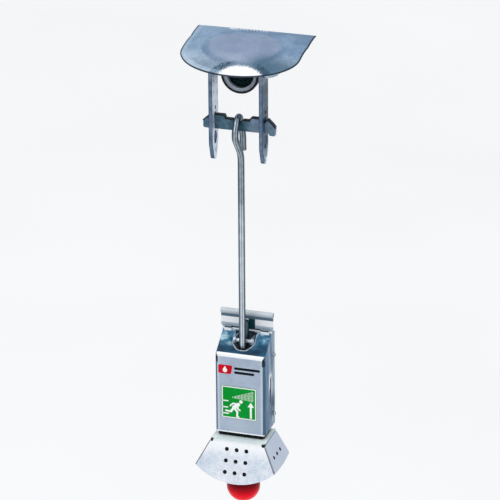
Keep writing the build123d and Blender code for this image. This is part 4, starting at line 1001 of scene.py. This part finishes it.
def drop_tag():
    """Plain red tag with a water drop, and two dark bars beside it."""
    left, low = -34 * MM, -473.5 * MM
    front = shell_low.y
    bm = bmesh.new()
    face = plate(bm, (0, 0), (20.0, 0), (22.5, 14.5), (0, 14.5))
    bmesh.ops.bevel(bm, geom=face.verts[:], offset=2.6, offset_type="OFFSET", segments=5, profile=0.5,
                    affect="VERTICES", material=-1)
    lay_flat("drop_tag", bm, (left, front - 0.02 * MM, low), "sign_green", tag_red, 0.25 * MM)
    bm = bmesh.new()
    disc(bm, (10.6, 5.9), 3.5)
    tip = plate(bm, (7.5, 7.5), (13.7, 7.5), (10.6, 12.8))
    bmesh.ops.translate(bm, verts=tip.verts[:], vec=(0, 0, FLAT_STEP))
    lay_flat("drop_mark", bm, (left, front - 0.29 * MM, low), "sign_green", sign_white, 0.10 * MM)
    bm = bmesh.new()
    stroke(bm, (27.0, 10.4), (63.5, 10.4), 4.2)
    stroke(bm, (27.0, 3.6), (54.5, 3.6), 4.2)
    lay_flat("tag_bars", bm, (left, front - 0.02 * MM, low), "sign_green", tag_black, 0.16 * MM)


# =========================================================================================
# Ball and spring
# =========================================================================================
def ball():
    """Moulded ball with a gate mark below and a fine parting line round its middle."""
    centre = (ball_low + ball_high) / 2
    radius = (ball_high.x - ball_low.x) / 2
    bm = bmesh.new()
    bmesh.ops.create_uvsphere(bm, u_segments=96, v_segments=64, radius=radius)
    for vert in bm.verts:
        off_axis = hypot(vert.co.x, vert.co.y)
        if vert.co.z < 0 and off_axis < 2.4 * MM:
            vert.co.z += 0.5 * MM
        if abs(vert.co.z) < 0.3 * MM:
            vert.co *= 0.9975
    bmesh.ops.translate(bm, verts=bm.verts, vec=centre)
    new_piece("ball", bm, "ball", "red_ball", ("pull_ball",))


def spring():
    """Return spring, wound from a ring that is turned and lifted at each step."""
    wire = 0.7 * MM
    turns, per_turn = 8, 40
    low, high = spring_low.z + wire, spring_high.z - wire
    bm = bmesh.new()
    ring = bmesh.ops.create_circle(bm, segments=10, radius=wire)["verts"]
    upright = Matrix.Translation((7 * MM, ROD_Y, low)) @ Matrix.Rotation(pi / 2, 4, "X")
    bmesh.ops.transform(bm, verts=ring, matrix=upright)
    steps = turns * per_turn
    bmesh.ops.spin(bm, geom=bm.verts[:] + bm.edges[:], cent=(0, ROD_Y, low), axis=(0, 0, 1),
                   dvec=(0, 0, (high - low) / steps), angle=2 * pi * turns, steps=steps)
    open_ends = [e for e in bm.edges if e.is_boundary]
    bmesh.ops.holes_fill(bm, edges=open_ends)
    bmesh.ops.recalc_face_normals(bm, faces=bm.faces)
    piece = new_piece("spring", bm, "housing", "bright_steel", ("return_spring",))
    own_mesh(piece)


# =========================================================================================
# Build
# =========================================================================================
hood_sheet()
hood_dots()
outlet()
notch_lip()
base_hem()
skirt_shade_sheet()
yoke_shade_line()
sign_border()
sign_figure()
sign_spray()
sign_arrow()
drop_tag()
ball()
spring()
for node, width in (
    ("link_bar_left", 0.8), ("link_bar_right", 0.8), ("yoke", 0.7), ("front_shell", 0.25),
    ("rear_shell", 0.25), ("skirt", 0.25), ("crank_arm_left", 0.4), ("crank_arm_right", 0.4),
    ("crank_nuts", 0.4), ("gland_nuts", 0.5), ("flange_nut", 0.6), ("hood_saddle", 0.4),
    ("saddle_strap", 0.4), ("hanger_bracket", 0.3), ("battery_clip", 0.2), ("microswitch", 0.4),
):
    dressed(node, width * MM, node + "_dressed")

# =========================================================================================
# Floor, light and camera
# =========================================================================================
FLOOR_Z = -3.2
FLOOR_SIZE = 60.0
FLOOR_GLOW = 0.16


def floor():
    """Plain pale floor, well below the shower as it hangs on its wall."""
    bm = bmesh.new()
    bmesh.ops.create_grid(bm, x_segments=1, y_segments=1, size=FLOOR_SIZE / 2)
    mesh = bpy.data.meshes.new("floor")
    bm.to_mesh(mesh)
    bm.free()
    made, tree, shader = new_material("floor_pale", 0.0, 0.8)
    tone = ramp(tree, noise(tree, 0.6, detail=2.0), [(0.3, (0.94, 0.94, 0.94)), (0.7, (0.97, 0.97, 0.97))])
    tree.links.new(tone, shader.inputs["Base Color"])
    tree.links.new(tone, shader.inputs["Emission Color"])
    shader.inputs["Emission Strength"].default_value = FLOOR_GLOW
    mesh.materials.append(made)
    ground = bpy.data.objects.new("floor", mesh)
    ground.location = (0, 0, FLOOR_Z)
    bpy.context.scene.collection.objects.link(ground)


def softbox(name, place, size, power, colour=(1, 1, 1)):
    """Area light that looks at the middle of the object."""
    light = bpy.data.lights.new(name, "AREA")
    light.shape = "RECTANGLE"
    light.size, light.size_y = size
    light.energy = power
    light.color = colour
    holder = bpy.data.objects.new(name, light)
    holder.location = place
    holder.rotation_mode = "QUATERNION"
    holder.rotation_quaternion = (Vector((0, -0.08, -0.3)) - Vector(place)).to_track_quat("-Z", "Y")
    bpy.context.scene.collection.objects.link(holder)


def studio():
    """Even white room with a slightly darker band at eye level, and three softboxes."""
    world = bpy.data.worlds.new("room")
    world.use_nodes = True
    tree = world.node_tree
    back = tree.nodes["Background"]
    height = axes(tree, "Generated")[2]
    room = ramp(tree, maths(tree, "ADD", times(tree, height, 0.5), 0.5), [
        (0.45, (0.66, 0.68, 0.72)), (0.56, (0.50, 0.54, 0.60)), (0.72, (0.72, 0.74, 0.77)),
        (1.0, (0.92, 0.92, 0.92))])
    seen = add(tree, "ShaderNodeLightPath").outputs["Is Camera Ray"]
    tree.links.new(mixed(tree, seen, room, (0.96, 0.96, 0.97)), back.inputs["Color"])
    back.inputs["Strength"].default_value = 1.0
    bpy.context.scene.world = world
    softbox("key", (-1.5, -2.4, 1.6), (1.2, 1.2), 15)
    softbox("top", (0.1, -0.5, 2.0), (1.6, 0.8), 11)
    softbox("fill", (2.2, -1.6, 0.2), (1.0, 1.4), 4, (0.93, 0.96, 1.0))


CAMERA_TARGET = (0.01283, -0.088, -0.27349)
CAMERA_AZIMUTH = 17.342
CAMERA_ELEVATION = 23.059
CAMERA_DISTANCE = 4.40792
CAMERA_ROLL = -0.370
CAMERA_LENS = 215.2


def camera():
    """Long lens, from the right and above."""
    turn, tilt = radians(CAMERA_AZIMUTH), radians(CAMERA_ELEVATION)
    back = Vector((sin(turn) * cos(tilt), -cos(turn) * cos(tilt), sin(tilt)))
    holder = bpy.data.objects.new("camera", bpy.data.cameras.new("camera"))
    holder.data.lens = CAMERA_LENS
    holder.data.sensor_width = 36
    holder.data.clip_start = 0.1
    holder.data.clip_end = 200
    holder.rotation_mode = "QUATERNION"
    holder.location = Vector(CAMERA_TARGET) + back * CAMERA_DISTANCE
    right = Vector((cos(turn), sin(turn), 0))
    up = back.cross(right)
    roll = radians(CAMERA_ROLL)
    right, up = cos(roll) * right + sin(roll) * up, cos(roll) * up - sin(roll) * right
    holder.rotation_quaternion = Matrix((right, up, back)).transposed().to_quaternion()
    bpy.context.scene.collection.objects.link(holder)
    bpy.context.scene.camera = holder


floor()
studio()
camera()
bpy.context.scene.view_settings.view_transform = "Standard"
